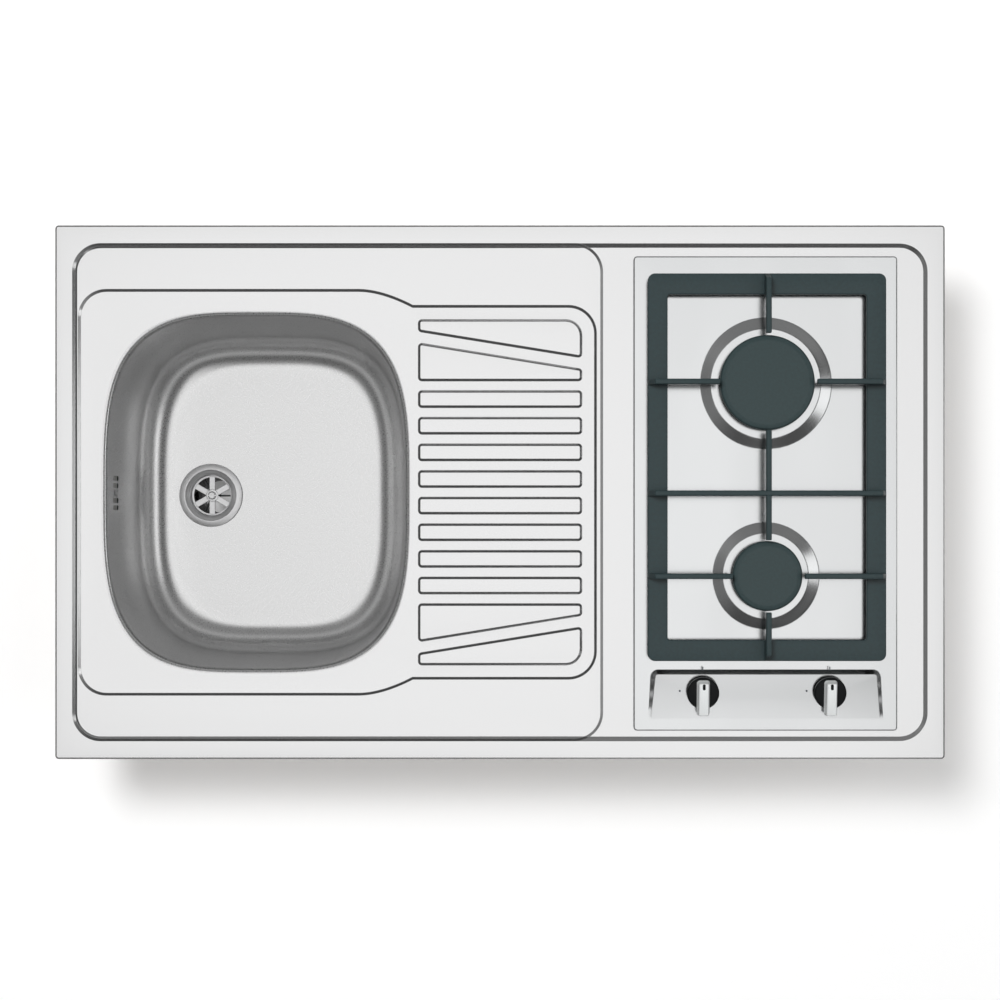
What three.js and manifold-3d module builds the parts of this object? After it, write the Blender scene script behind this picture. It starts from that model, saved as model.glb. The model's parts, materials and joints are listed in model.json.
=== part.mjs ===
// A lay-on kitchenette top: one pressed stainless-steel sheet with a bowl and a drainer on the left
// and a two-burner gas hob let into it on the right. Everything is in millimetres, +Z up.
// The origin is in the middle of the top, on the plane where its battens lie on the cabinet.
// +X runs to the right and +Y to the back, as someone who stands at the sink sees it.
import * as THREE from "three";
import { mergeVertices } from "three/addons/utils/BufferGeometryUtils.js";
import Module from "manifold-3d";

const wasm = await Module();
wasm.setup();

// ---------------------------------------------------------------- driving dimensions
const gap = 0.3; // clearance between two pieces that touch

// The pressed sheet
const topLength = 1000;
const topDepth = 600;
const upstand = 40; // from the cabinet to the top of the rim
const sheet = 0.8; // thickness of the steel
const foldRadius = 2.5; // where the skirt turns down
const stepBack = 0.45; // the underside of a slope stands back by this share of the thickness
const sheetCorner = 4; // radius of the upright corners
const rimWidthX = 19; // flat border left and right
const rimWidthY = 20; // flat border front and back
const fieldRadius = 32; // corners of the pressed fields
const rimStep = 2; // rim down to the hob field
const sinkStep = 1.5; // hob field down to the sink field
const bowlStep = 2.5; // sink field down to the bowl and drainer field
const stepRun = 4; // width of each sloping step
const sinkFieldToHob = 34; // flat strip between the sink field and the hob
const bowlFieldInset = 7; // the bowl and drainer field ends this far inside the sink field
const bowlFieldFromEdge = 71; // from the sheet's front and back edge to it, beside the bowl
const drainerFromEdge = 89; // and beside the drainer
const shoulderLead = 44.5; // its outline starts to step in this far before the bowl's right end
const shoulderLength = 48;

// The drainer's raised ribs
const ribFromBowl = 9.5; // from the bowl's edge to the ribs
const ribFromEnd = 17; // from the ribs to the field's right end
const ribFromSide = 16.55; // from the outermost ribs to the field's front and back
const ribWidth = 18.9;
const ribSpacing = 30; // of the straight ribs, before it is evened out over their row
const ribHeight = 2.5;
const ribRun = 1.6; // width of a rib's sloping side
const ribCorner = 4;
const wedgeNarrow = 13.2; // short end of the four tapering ribs
const wedgeWide = 42.8; // their long end
const wedgeGap = 12.9; // flat strip between two tapering ribs
const wedgeCorner = 18; // outermost corner of each outer one

// The bowl
const bowlFromLeft = 51.1; // from the sheet's left edge
const bowlFromEdge = 96; // from the sheet's front and back edge
const bowlHalfX = 173.7;
const bowlPower = 3.38; // exponent of the superellipse that the rim follows
const bowlDepth = 150;
const bowlRoll = 6; // radius over the bowl's edge
const bowlLand = 3; // flat strip round the edge, welded to the sheet
const bowlDraft = 9; // how far the wall leans in on its way down
const floorFillet = 36; // radius between wall and floor
const floorFall = 0.6; // fall of the floor towards the waste
const padLength = 150; // sound-deadening pad
const padWidth = 90;
const padThickness = 2.5;

// The waste and the overflow
const wasteFromMiddle = 77.7; // to the left of the bowl's middle
const wasteFlangeRadius = 38;
const wasteCupRadius = 26;
const wasteCupDepth = 9;
const wasteFlangeThickness = 1.6;
const spokeCount = 6;
const spokeWidth = 7;
const hubRadius = 7.5;
const wasteScrewRadius = 3;
const gasketThickness = 1.6;
const wasteBodyDepth = 70;
const outletRadius = 23.9; // G 1 1/2 thread
const outletWall = 3.9;
const overflowDepth = 33; // of the slots below the bowl's edge
const slotLength = 7; // one overflow slot, along Y
const slotHeight = 20;
const slotPitch = 8.4;
const overflowHousing = 15; // how far the housing stands off the wall
const overflowWall = 1.5; // of the housing, its spigot and the pipe
const overflowBore = 5.5;

// The battens under the sheet
const battenWidth = 40;
const drainerBattenWidth = 32;
const battenPlay = 0.5; // between the sink field's step and the batten beside the hob
const battenToClamps = 1.2; // between that batten and the clamps' toes
const battenFromBowl = 13; // between the left batten and the bowl, room for the overflow

// The hob
const hobFromRight = 54; // from the sheet's right edge
const hobFromFront = 32.2; // from its front edge
const hobFromBack = 35.2; // and from its back edge
const hobLength = 296;
const hobSheet = 1;
const hobRise = 5; // top of the hob plate above the hob field
const hobEdge = 2.7; // depth of the plate's folded edge
const hobCorner = 4;
const sealWidth = 9;
const cutoutMargin = 12; // the plate laps the cut-out by this much left and right
const cutoutMarginY = 18; // and front and back
const trayMargin = 4; // between cut-out and tray
const trayDepth = 58; // from the plate's top to the tray's bottom
const traySheet = 1;
const bossRise = 4; // the plate round each burner
const bossRun = 10; // width of the cone up to it
const bossLand = 10.5; // flat ring between the cone and the cap

const rearBurnerFromBack = 143.2; // from the hob's back edge
const frontBurnerFromConsole = 104.9;
const rearCapRadius = 52.8;
const frontCapRadius = 39;
const rearPortCount = 24;
const frontPortCount = 18;
const crownInset = 4; // the crown is this much smaller than its cap
const crownHeight = 9.5;
const crownWall = 6;
const portWidth = 1.8;
const portDepth = 4.5;
const capThickness = 6.5;
const capEdge = 2.2; // chamfer round the cap
const throatInset = 16; // the hole in the plate is this much smaller than the cap
const skirtDepth = 9;
const cupDepth = 24;
const cupWall = 2;
const injectorRadius = 5;
const injectorLength = 12;
const venturiRadius = 9;

// The console and the two taps
const consoleFromSide = 19; // from the hob's left and right edge
const consoleFromFront = 16.1; // from its front edge
const consoleLength = 53;
const consoleRise = 7;
const consoleSlope = 2.5; // width of its sloping sides
const knobSpacing = 142;
const knobFromFront = 28; // from the console's front edge
const knobRadius = 18;
const knobThickness = 5;
const knobLift = 4.8; // from the console to the knob
const gripWidth = 14.5;
const gripRear = 15;
const gripFront = 25;
const gripHeight = 11;
const gripFlare = 1.5; // the grip is narrower at its top by this much each side
const spindleRadius = 4;
const collarRadius = 6.5;
const collarThickness = 2;
const tangRadius = 2.8;
const tapRadius = 12;
const tapBore = 8.3;
const tapLength = 40;
const plugLength = 12;
const springLength = 12;
const springTurns = 6;
const springRadius = 5.2;
const springWire = 1;
const pushTravel = 3;
const outletBossRadius = 6;
const outletBossLength = 8;
const gasPipeRadius = 4;
const railRadius = 6.5;
const railWall = 1.5;
const railBend = 10.5;
const railTail = 3; // the rail passes the tray's floor by this much
const inletRadius = 10.4; // G 1/2 thread
const inletNutHeight = 9;
const inletThread = 16;
const inletFromBack = 42; // from the tray's rear wall

// The pan support
const supportFromSide = 15.2; // from the hob's left and right edge
const supportFromBack = 21.4; // from its back edge
const supportFromConsole = 10.1;
const bandX = 22; // width of the frame's sides
const bandY = 23.5; // width of its front and back
const bandRadius = 8;
const bandThickness = 6;
const footHeight = 9;
const footRadius = 6.5;
const barWidth = 6;
const barDepth = 10;
const barTop = 34; // above the hob plate
const barSlope = 7; // length of the sloping end over the frame
const fingerGap = 0.9; // between a finger's tip and the burner's cap
const crossBarFromCap = 52.9; // from the front burner's cap to the long crosswise bar

// The clamps that hold the hob down
const clampWidth = 20;
const clampHeight = 26;
const clampThickness = 2;
const clampReach = 14;
const clampY = 150;
const clampScrewRadius = 2;
const clampScrewLength = 9;
const screwHeadRadius = 4;
const screwHeadHeight = 2.5;

// ---------------------------------------------------------------- levels and places worked out
const rimZ = upstand;
const hobFieldZ = rimZ - rimStep;
const sinkFieldZ = hobFieldZ - sinkStep;
const bowlFieldZ = sinkFieldZ - bowlStep;
const floorZ = bowlFieldZ - bowlDepth;
const spigotRadius = overflowBore + overflowWall;
const halfLength = topLength / 2;
const halfDepth = topDepth / 2;
const innerRight = halfLength - rimWidthX;
const innerBack = halfDepth - rimWidthY;

// The bowl keeps its distance from the left end and the hob from the right one, and the drainer
// takes the length that is left between them.
const bowlX = -halfLength + bowlFromLeft + bowlHalfX;
const bowlHalfY = halfDepth - bowlFromEdge;
const bowlRight = bowlX + bowlHalfX;
const wasteX = bowlX - wasteFromMiddle;
const hobX = halfLength - hobFromRight - hobLength / 2;
const hobY = (hobFromFront - hobFromBack) / 2;
const hobDepth = topDepth - hobFromFront - hobFromBack;
const sinkFieldRight = hobX - hobLength / 2 - sinkFieldToHob;
const bowlFieldLeft = -innerRight + stepRun;
const bowlFieldRight = sinkFieldRight - bowlFieldInset;
const bowlFieldHalfDepth = halfDepth - bowlFieldFromEdge;
const drainerHalfDepth = halfDepth - drainerFromEdge;
const shoulderStart = bowlRight - shoulderLead;
const shoulderEnd = shoulderStart + shoulderLength;
const ribLeft = bowlRight + ribFromBowl;
const ribRight = bowlFieldRight - ribFromEnd;
const drainerX = (ribLeft + ribRight) / 2;
const ribRowHalf = drainerHalfDepth - ribFromSide - wedgeWide - wedgeGap - wedgeNarrow;
const ribCount = Math.round((2 * ribRowHalf + ribWidth) / ribSpacing) - 1;
const ribPitch = (2 * ribRowHalf + ribWidth) / (ribCount + 1);

const plateZ = hobFieldZ + hobRise;
const bossZ = plateZ + bossRise;
const trayZ = plateZ - trayDepth;
const plateEdgeZ = plateZ - hobEdge;
const cutoutHalfX = hobLength / 2 - cutoutMargin;
const cutoutHalfY = hobDepth / 2 - cutoutMarginY;
const trayHalfX = cutoutHalfX - trayMargin;
const trayHalfY = cutoutHalfY - trayMargin;
const consoleHalfLength = hobLength / 2 - consoleFromSide;
const consoleTilt = Math.atan2(consoleRise, consoleLength);
const consoleFrontY = hobY - hobDepth / 2 + consoleFromFront;
const consoleRearY = consoleFrontY + consoleLength;
const knobY = consoleFrontY + knobFromFront;
const rearBurnerY = hobY + hobDepth / 2 - rearBurnerFromBack;
const frontBurnerY = consoleRearY + frontBurnerFromConsole;
const supportLeft = hobX - hobLength / 2 + supportFromSide;
const supportRight = hobX + hobLength / 2 - supportFromSide;
const supportRearY = hobY + hobDepth / 2 - supportFromBack;
const supportFrontY = consoleRearY + supportFromConsole;
const crossBarY = frontBurnerY + frontCapRadius + crossBarFromCap;
const consoleZ = (y) => plateZ + (y - consoleFrontY) * Math.tan(consoleTilt);

// ---------------------------------------------------------------- geometry helpers
const V2 = (x, y) => new THREE.Vector2(x, y);
const V3 = (x, y, z) => new THREE.Vector3(x, y, z);

// A closed three.js geometry as a solid that can be joined and cut.
function solid(geometry) {
  const bare = geometry.clone();
  bare.deleteAttribute("normal");
  bare.deleteAttribute("uv");
  const merged = mergeVertices(bare, 1e-4);
  return new wasm.Manifold(
    new wasm.Mesh({
      numProp: 3,
      vertProperties: merged.attributes.position.array,
      triVerts: new Uint32Array(merged.index.array),
    }),
  );
}

// The other way round: a joined or cut solid as a geometry.
function geometryOf(body) {
  const { vertProperties, triVerts, numProp } = body.getMesh();
  const geometry = new THREE.BufferGeometry();
  const interleaved = new THREE.InterleavedBuffer(vertProperties, numProp);
  geometry.setAttribute("position", new THREE.InterleavedBufferAttribute(interleaved, 3, 0));
  geometry.setIndex(new THREE.BufferAttribute(triVerts, 1));
  const plain = geometry.toNonIndexed();
  plain.computeVertexNormals();
  return plain;
}

// A body through rings of the same number of points. Its ends are "flat" where they look up and
// down and may be hollowed outlines, or a "fan" where they are convex and look anywhere. "round"
// runs from the last ring back to the first, as a wall round an opening does.
function loft(rings, ends = "flat") {
  const count = rings[0].length;
  const index = [];
  const spans = ends === "round" ? rings.length : rings.length - 1;
  for (let i = 0; i < spans; i++) {
    const low = i * count;
    const high = ((i + 1) % rings.length) * count;
    for (let j = 0; j < count; j++) {
      const next = (j + 1) % count;
      index.push(low + j, low + next, high + next, low + j, high + next, high + j);
    }
  }
  if (ends !== "round") {
    const top = (rings.length - 1) * count;
    const flat = (ring) => THREE.ShapeUtils.triangulateShape(ring.map((p) => V2(p.x, p.y)), []);
    const fan = (ring) => ring.slice(2).map((_, i) => [0, i + 1, i + 2]);
    const face = ends === "fan" ? fan : flat;
    for (const [a, b, c] of face(rings[0])) index.push(a, c, b);
    for (const [a, b, c] of face(rings.at(-1))) index.push(top + a, top + b, top + c);
  }
  const geometry = new THREE.BufferGeometry().setFromPoints(rings.flat());
  geometry.setIndex(index);
  if (volumeOf(rings.flat(), index) < 0) index.reverse();
  geometry.setIndex(index);
  const plain = geometry.toNonIndexed();
  plain.computeVertexNormals();
  return plain;
}

function volumeOf(points, index) {
  let sum = 0;
  for (let i = 0; i < index.length; i += 3) {
    const [a, b, c] = [points[index[i]], points[index[i + 1]], points[index[i + 2]]];
    sum += a.dot(b.clone().cross(c)) / 6;
  }
  return sum;
}

// The points of a shape's outline, counter-clockwise and without a doubled end.
function outlineOf(shape, divisions = 2) {
  const all = shape.extractPoints(divisions).shape;
  const points = all.filter((p, i) => p.distanceTo(all.at(i - 1)) > 1e-6);
  return THREE.ShapeUtils.isClockWise(points) ? points.reverse() : points;
}

// The outline moved outwards by a distance, or inwards by a negative one.
function grow(points, distance) {
  return points.map((p, i) => {
    const before = points.at(i - 1);
    const after = points[(i + 1) % points.length];
    const arriving = p.clone().sub(before).normalize();
    const leaving = after.clone().sub(p).normalize();
    const side = V2(arriving.y, -arriving.x);
    const normal = V2(leaving.y, -leaving.x).add(side).normalize();
    return p.clone().addScaledVector(normal, distance / normal.dot(side));
  });
}

const raise = (points, z) => points.map((p) => V3(p.x, p.y, z));

// A body over an outline, as a list of [height, growth of the outline] from the bottom up.
const over = (outline, ...levels) =>
  loft(levels.map(([z, distance]) => raise(distance ? grow(outline, distance) : outline, z)));

// A rectangle with rounded corners: radii from the left front corner, counter-clockwise.
function roundedRect(left, front, right, back, radii) {
  const [a, b, c, d] = Array.isArray(radii) ? radii : [radii, radii, radii, radii];
  const shape = new THREE.Shape();
  shape.absarc(left + a, front + a, a, Math.PI, 1.5 * Math.PI);
  shape.absarc(right - b, front + b, b, 1.5 * Math.PI, 2 * Math.PI);
  shape.absarc(right - c, back - c, c, 0, 0.5 * Math.PI);
  shape.absarc(left + d, back - d, d, 0.5 * Math.PI, Math.PI);
  return shape;
}

const rectAround = (x, y, halfX, halfY, radius) =>
  roundedRect(x - halfX, y - halfY, x + halfX, y + halfY, radius);

// A turned piece on the Z axis from pairs of radius and height. A profile that doesn't reach the
// axis is closed on itself, so that the piece has a bore.
function turned(profile, segments = 20) {
  const points = profile.map(([radius, z]) => V2(radius, z));
  const onAxis = points[0].x === 0 && points.at(-1).x === 0;
  if (!onAxis) points.push(points[0].clone());
  const geometry = new THREE.LatheGeometry(points, segments);
  geometry.rotateX(Math.PI / 2);
  return upright(geometry);
}

// Turns the faces of a geometry round if they look inwards.
function upright(geometry) {
  const bare = geometry.clone();
  bare.deleteAttribute("normal");
  bare.deleteAttribute("uv");
  const merged = mergeVertices(bare, 1e-4);
  const place = merged.attributes.position;
  const points = Array.from({ length: place.count }, (_, i) => V3().fromBufferAttribute(place, i));
  const index = Array.from(merged.index.array);
  if (volumeOf(points, index) < 0) index.reverse();
  merged.setIndex(index);
  const plain = merged.toNonIndexed();
  plain.computeVertexNormals();
  return plain;
}

// A solid block between two corners.
function block(x0, y0, z0, x1, y1, z1) {
  const box = new THREE.BoxGeometry(x1 - x0, y1 - y0, z1 - z0);
  return box.translate((x0 + x1) / 2, (y0 + y1) / 2, (z0 + z1) / 2);
}

// A round bar or, with a bore, a tube along a line of points. Each ring stands across the line,
// turned as little as it can be from the ring before.
function pipe(points, radius, bore = 0, sides = 8) {
  const rings = (r) => {
    let across = V3(0.31, 0.52, 0.79);
    return points.map((p, i) => {
      const before = points[Math.max(0, i - 1)];
      const after = points[Math.min(points.length - 1, i + 1)];
      const along = after.clone().sub(before).normalize();
      across = across.clone().addScaledVector(along, -across.dot(along)).normalize();
      const up = along.clone().cross(across);
      return Array.from({ length: sides }, (_, k) => {
        const angle = (k / sides) * 2 * Math.PI;
        const sideways = across.clone().multiplyScalar(r * Math.cos(angle));
        return sideways.addScaledVector(up, r * Math.sin(angle)).add(p);
      });
    });
  };
  if (bore) return loft([...rings(radius), ...rings(bore).reverse()], "round");
  return loft(rings(radius), "fan");
}

// The points of straight runs whose corners are bends of one size.
function bentPath(corners, bend, pointsPerBend = 4) {
  const path = new THREE.CurvePath();
  let from = corners[0];
  for (let i = 1; i < corners.length - 1; i++) {
    const corner = corners[i];
    const back = corners[i - 1].clone().sub(corner).normalize().multiplyScalar(bend);
    const on = corners[i + 1].clone().sub(corner).normalize().multiplyScalar(bend);
    const start = corner.clone().add(back);
    const end = corner.clone().add(on);
    path.add(new THREE.LineCurve3(from, start));
    path.add(new THREE.QuadraticBezierCurve3(start, corner, end));
    from = end;
  }
  path.add(new THREE.LineCurve3(from, corners.at(-1)));
  return path.getPoints(pointsPerBend);
}

const cut = (body, ...tools) => tools.reduce((rest, tool) => rest.subtract(solid(tool)), body);
const join = (...geometries) => geometries.map(solid).reduce((a, b) => a.add(b));

// ---------------------------------------------------------------- materials
const finish = (color, roughness, metalness) =>
  new THREE.MeshStandardMaterial({ color, roughness, metalness });
const materials = {
  steel: finish(0xc9cbcc, 0.32, 1),
  bowlSteel: finish(0xb4b6b8, 0.4, 1),
  brightSteel: finish(0xd4d6d8, 0.2, 1),
  galvanised: finish(0x9a9da0, 0.5, 1),
  enamel: finish(0x39464a, 0.45, 0.1),
  castIron: finish(0x3c484a, 0.6, 0.2),
  aluminium: finish(0xc8cac9, 0.45, 1),
  brass: finish(0xb08d4a, 0.35, 1),
  chipboard: finish(0xb89468, 0.85, 0),
  rubber: finish(0x1b1c1d, 0.8, 0),
  bitumen: finish(0x2b2b2c, 0.9, 0),
  plastic: finish(0xe6e6e2, 0.5, 0),
  drainPlastic: finish(0x1b1c1d, 0.5, 0),
  knobBlack: finish(0x111415, 0.4, 0),
  knobSilver: finish(0xcfd4d5, 0.35, 0.6),
};

const kitchenetteTop = new THREE.Group();

function add(name, shape, material, parent = kitchenetteTop) {
  const geometry = shape.isBufferGeometry ? shape : geometryOf(shape);
  const mesh = new THREE.Mesh(geometry, material);
  mesh.name = name;
  parent.add(mesh);
  return mesh;
}

// ---------------------------------------------------------------- the pressed sheet
// The outline of the field that holds the bowl and the drainer: deeper beside the bowl, with an
// S-shaped shoulder on each side where it narrows to the drainer.
function bowlField() {
  const shape = new THREE.Shape();
  const deep = bowlFieldHalfDepth;
  const shallow = drainerHalfDepth;
  const middle = (shoulderStart + shoulderEnd) / 2;
  const r = fieldRadius;
  shape.absarc(bowlFieldLeft + r, r - deep, r, Math.PI, 1.5 * Math.PI);
  shape.lineTo(shoulderStart, -deep);
  shape.bezierCurveTo(middle, -deep, middle, -shallow, shoulderEnd, -shallow);
  shape.absarc(bowlFieldRight - r, r - shallow, r, 1.5 * Math.PI, 2 * Math.PI);
  shape.absarc(bowlFieldRight - r, shallow - r, r, 0, 0.5 * Math.PI);
  shape.lineTo(shoulderEnd, shallow);
  shape.bezierCurveTo(middle, shallow, middle, deep, shoulderStart, deep);
  shape.absarc(bowlFieldLeft + r, deep - r, r, 0.5 * Math.PI, Math.PI);
  return outlineOf(shape);
}

// The drainer's ribs: a row of straight ones, and two tapering ones at each end of the row.
function ribOutlines() {
  const outlines = [];
  for (let i = 0; i < ribCount; i++) {
    const y = (i - (ribCount - 1) / 2) * ribPitch;
    const rib = roundedRect(ribLeft, y - ribWidth / 2, ribRight, y + ribWidth / 2, ribCorner);
    outlines.push(outlineOf(rib, 1));
  }
  for (const side of [-1, 1]) {
    const inner = [V2(ribLeft, ribRowHalf), V2(ribRight, ribRowHalf)];
    inner.push(V2(ribRight, ribRowHalf + wedgeNarrow), V2(ribLeft, ribRowHalf + wedgeWide));
    const outerEdge = ribRowHalf + wedgeWide + wedgeGap + wedgeNarrow;
    const outer = [V2(ribRight, outerEdge), V2(ribLeft, outerEdge)];
    outer.push(V2(ribLeft, outerEdge - wedgeNarrow), V2(ribRight, outerEdge - wedgeWide));
    outlines.push(taperingRib(inner, [ribCorner, ribCorner, ribCorner, ribCorner], side));
    outlines.push(taperingRib(outer, [wedgeCorner, ribCorner, ribCorner, ribCorner], side));
  }
  return outlines;
}

// A four-cornered outline with its corners rounded, mirrored to the front where side is -1.
function taperingRib(corners, radii, side) {
  const shape = new THREE.Shape();
  corners.forEach((corner, i) => {
    const back = corners.at(i - 1).clone().sub(corner).normalize();
    const on = corners[(i + 1) % 4].clone().sub(corner).normalize();
    const reach = radii[i] / Math.tan(back.angleTo(on) / 2);
    const start = corner.clone().addScaledVector(back, reach);
    const end = corner.clone().addScaledVector(on, reach);
    if (i === 0) shape.moveTo(start.x, start.y);
    else shape.lineTo(start.x, start.y);
    shape.quadraticCurveTo(corner.x, corner.y, end.x, end.y);
  });
  const points = outlineOf(shape, 2).map((p) => V2(p.x, p.y * side));
  return THREE.ShapeUtils.isClockWise(points) ? points.reverse() : points;
}

// One of the sheet's two faces, as the solid below it: drop 0 is the top face, and the thickness
// of the sheet gives the underside, where every wall stands back as well.
function sheetBlock(drop) {
  const back = drop * stepBack;
  const past = 1; // the cutters reach this far above the face
  const outline = outlineOf(rectAround(0, 0, halfLength - drop, halfDepth - drop, sheetCorner));
  const top = rimZ - drop;
  const bottom = drop ? -1 : 0;
  const folded = [top - foldRadius, 0];
  const rounded = [top - foldRadius * 0.3, -foldRadius * 0.3];
  let body = solid(over(outline, [bottom, 0], folded, rounded, [top, -foldRadius]));
  const hobField = outlineOf(
    roundedRect(-innerRight, -innerBack, innerRight, innerBack, fieldRadius),
  );
  const sinkField = outlineOf(
    roundedRect(-innerRight, -innerBack, sinkFieldRight, innerBack, fieldRadius),
  );
  const steps = [
    [hobField, rimZ, hobFieldZ, 0],
    [sinkField, hobFieldZ, sinkFieldZ, -stepRun * 0.5],
    [bowlField(), sinkFieldZ, bowlFieldZ, 0],
  ];
  for (const [field, high, low, inset] of steps) {
    const edge = [high - drop, back + inset];
    const foot = [low - drop, back + inset - stepRun];
    body = cut(body, over(field, foot, edge, [high - drop + past, back + inset]));
  }
  for (const rib of ribOutlines()) {
    const root = [bowlFieldZ - drop - past, -back];
    const base = [bowlFieldZ - drop, -back];
    const crest = [bowlFieldZ - drop + ribHeight, -back - ribRun];
    body = body.add(solid(over(rib, root, base, crest)));
  }
  return body;
}

// Points of the bowl's outline at an inset from its rim.
const bowlPoints = 32;
function bowlRing(inset, depth) {
  const power = 2 / bowlPower;
  return Array.from({ length: bowlPoints }, (_, i) => {
    const angle = ((i + 0.5) / bowlPoints) * 2 * Math.PI;
    const c = Math.cos(angle);
    const s = Math.sin(angle);
    const px = Math.sign(c) * Math.abs(c) ** power * (bowlHalfX - inset);
    const py = Math.sign(s) * Math.abs(s) ** power * (bowlHalfY - inset);
    return V3(bowlX + px, py, bowlFieldZ - depth);
  });
}

const bowlRim = () => bowlRing(-bowlLand, 0).map((p) => V2(p.x, p.y));

function topSheet() {
  const pastFaces = 5;
  const body = sheetBlock(0).subtract(sheetBlock(sheet));
  const high = rimZ + pastFaces;
  const bowlCut = over(bowlRim(), [-pastFaces, gap], [high, gap]);
  const hobOutline = outlineOf(rectAround(hobX, hobY, cutoutHalfX, cutoutHalfY, hobCorner));
  return cut(body, bowlCut, over(hobOutline, [-pastFaces, 0], [high, 0]));
}
add("top_sheet", topSheet(), materials.steel);

// ---------------------------------------------------------------- the bowl
// The wall's section as pairs of inset from the rim and depth: over the edge, down the leaning
// wall, round the fillet and on to the floor.
function bowlSection() {
  const section = [V2(-bowlLand, 0)];
  const rollSteps = 2;
  const filletSteps = 3;
  for (let i = 0; i <= rollSteps; i++) {
    const angle = ((i / rollSteps) * Math.PI) / 2;
    section.push(V2(bowlRoll * Math.sin(angle), bowlRoll * (1 - Math.cos(angle))));
  }
  const flat = bowlDepth - floorFall;
  for (let i = 0; i <= filletSteps; i++) {
    const angle = ((i / filletSteps) * Math.PI) / 2;
    const inset = bowlRoll + bowlDraft + floorFillet * (1 - Math.cos(angle));
    section.push(V2(inset, flat - floorFillet * (1 - Math.sin(angle))));
  }
  return section;
}

// The section moved outwards by a distance, across its own line.
function offsetLine(points, distance) {
  return points.map((p, i) => {
    const before = points[Math.max(0, i - 1)];
    const after = points[Math.min(points.length - 1, i + 1)];
    const along = after.clone().sub(before).normalize();
    return V2(p.x - along.y * distance, p.y + along.x * distance);
  });
}

const wasteHoleRadius = wasteCupRadius + 2;
const wasteRing = (radius, depth) =>
  Array.from({ length: bowlPoints }, (_, i) => {
    const angle = ((i + 0.5) / bowlPoints) * 2 * Math.PI;
    const x = wasteX + radius * Math.cos(angle);
    return V3(x, radius * Math.sin(angle), bowlFieldZ - depth);
  });
const wasteSeat = wasteFlangeRadius + 2; // flat seat for the flange in the floor

function sinkBowl() {
  const inside = bowlSection();
  const outside = offsetLine(inside, sheet);
  const rings = inside.map((p) => bowlRing(p.x, p.y));
  rings.push(wasteRing(wasteSeat, bowlDepth), wasteRing(wasteHoleRadius, bowlDepth));
  rings.push(wasteRing(wasteHoleRadius, bowlDepth + sheet));
  rings.push(wasteRing(wasteSeat, bowlDepth + sheet));
  rings.push(...outside.reverse().map((p) => bowlRing(p.x, p.y)));
  return cut(solid(loft(rings, "round")), ...overflowHoles());
}

// How far the wall has leaned in at a depth, and so where its face lies on the left.
function leftWallX(depth) {
  const straight = bowlDepth - floorFall - floorFillet - bowlRoll;
  const inset = bowlRoll + (bowlDraft * (depth - bowlRoll)) / straight;
  return bowlX - bowlHalfX + inset;
}
const overflowZ = bowlFieldZ - overflowDepth;
const overflowX = leftWallX(overflowDepth);
const overflowScrewHole = 2.6;
const wallReach = 8; // the hole cutters pass the wall by this much

// Four slots through the left wall, two each side of a screw.
const slotPlaces = [-2, -1, 1, 2].map((n) => n * slotPitch);
function overflowHoles() {
  const holes = slotPlaces.map((y) => {
    const shape = rectAround(0, 0, (slotLength - 1.4) / 2, slotHeight / 2, 1.6);
    const slot = over(outlineOf(shape, 2), [-wallReach, 0], [wallReach, 0]);
    return slot.rotateZ(Math.PI / 2).rotateY(Math.PI / 2).translate(overflowX, y, overflowZ);
  });
  const screwHole = turned([[0, -wallReach], [overflowScrewHole, -wallReach],
    [overflowScrewHole, wallReach], [0, wallReach]], 10);
  return [...holes, screwHole.rotateY(Math.PI / 2).translate(overflowX, 0, overflowZ)];
}
add("sink_bowl", sinkBowl(), materials.bowlSteel);

// A pad glued under the floor, which damps the noise of the water.
const padX = bowlX + 35;
const padTop = floorZ - sheet - gap;
const padOutline = outlineOf(rectAround(padX, 0, padWidth / 2, padLength / 2, 12));
add("sound_pad", over(padOutline, [padTop - padThickness, 0], [padTop, 0]), materials.bitumen);

// ---------------------------------------------------------------- the waste
const upperGasketZ = floorZ + gap;
const flangeZ = upperGasketZ + gasketThickness + gap;
const flangeTopZ = flangeZ + wasteFlangeThickness;
const gridZ = floorZ - wasteCupDepth;
const gridThickness = 1.6;
const lowerGasketTop = floorZ - sheet - gap;
const bodyTop = lowerGasketTop - gasketThickness - gap;
const bodyBottom = bodyTop - wasteBodyDepth;
const atWaste = (geometry) => geometry.translate(wasteX, 0, 0);

const gasketRing = (top, outer) =>
  turned([[wasteHoleRadius + 1, top - gasketThickness], [outer, top - gasketThickness],
    [outer, top], [wasteHoleRadius + 1, top]], 16);
const upperGasket = gasketRing(upperGasketZ + gasketThickness, wasteFlangeRadius - 1);
add("waste_gasket_upper", atWaste(upperGasket), materials.rubber);
const lowerGasket = gasketRing(lowerGasketTop, wasteFlangeRadius + 2);
add("waste_gasket_lower", atWaste(lowerGasket), materials.rubber);

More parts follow.
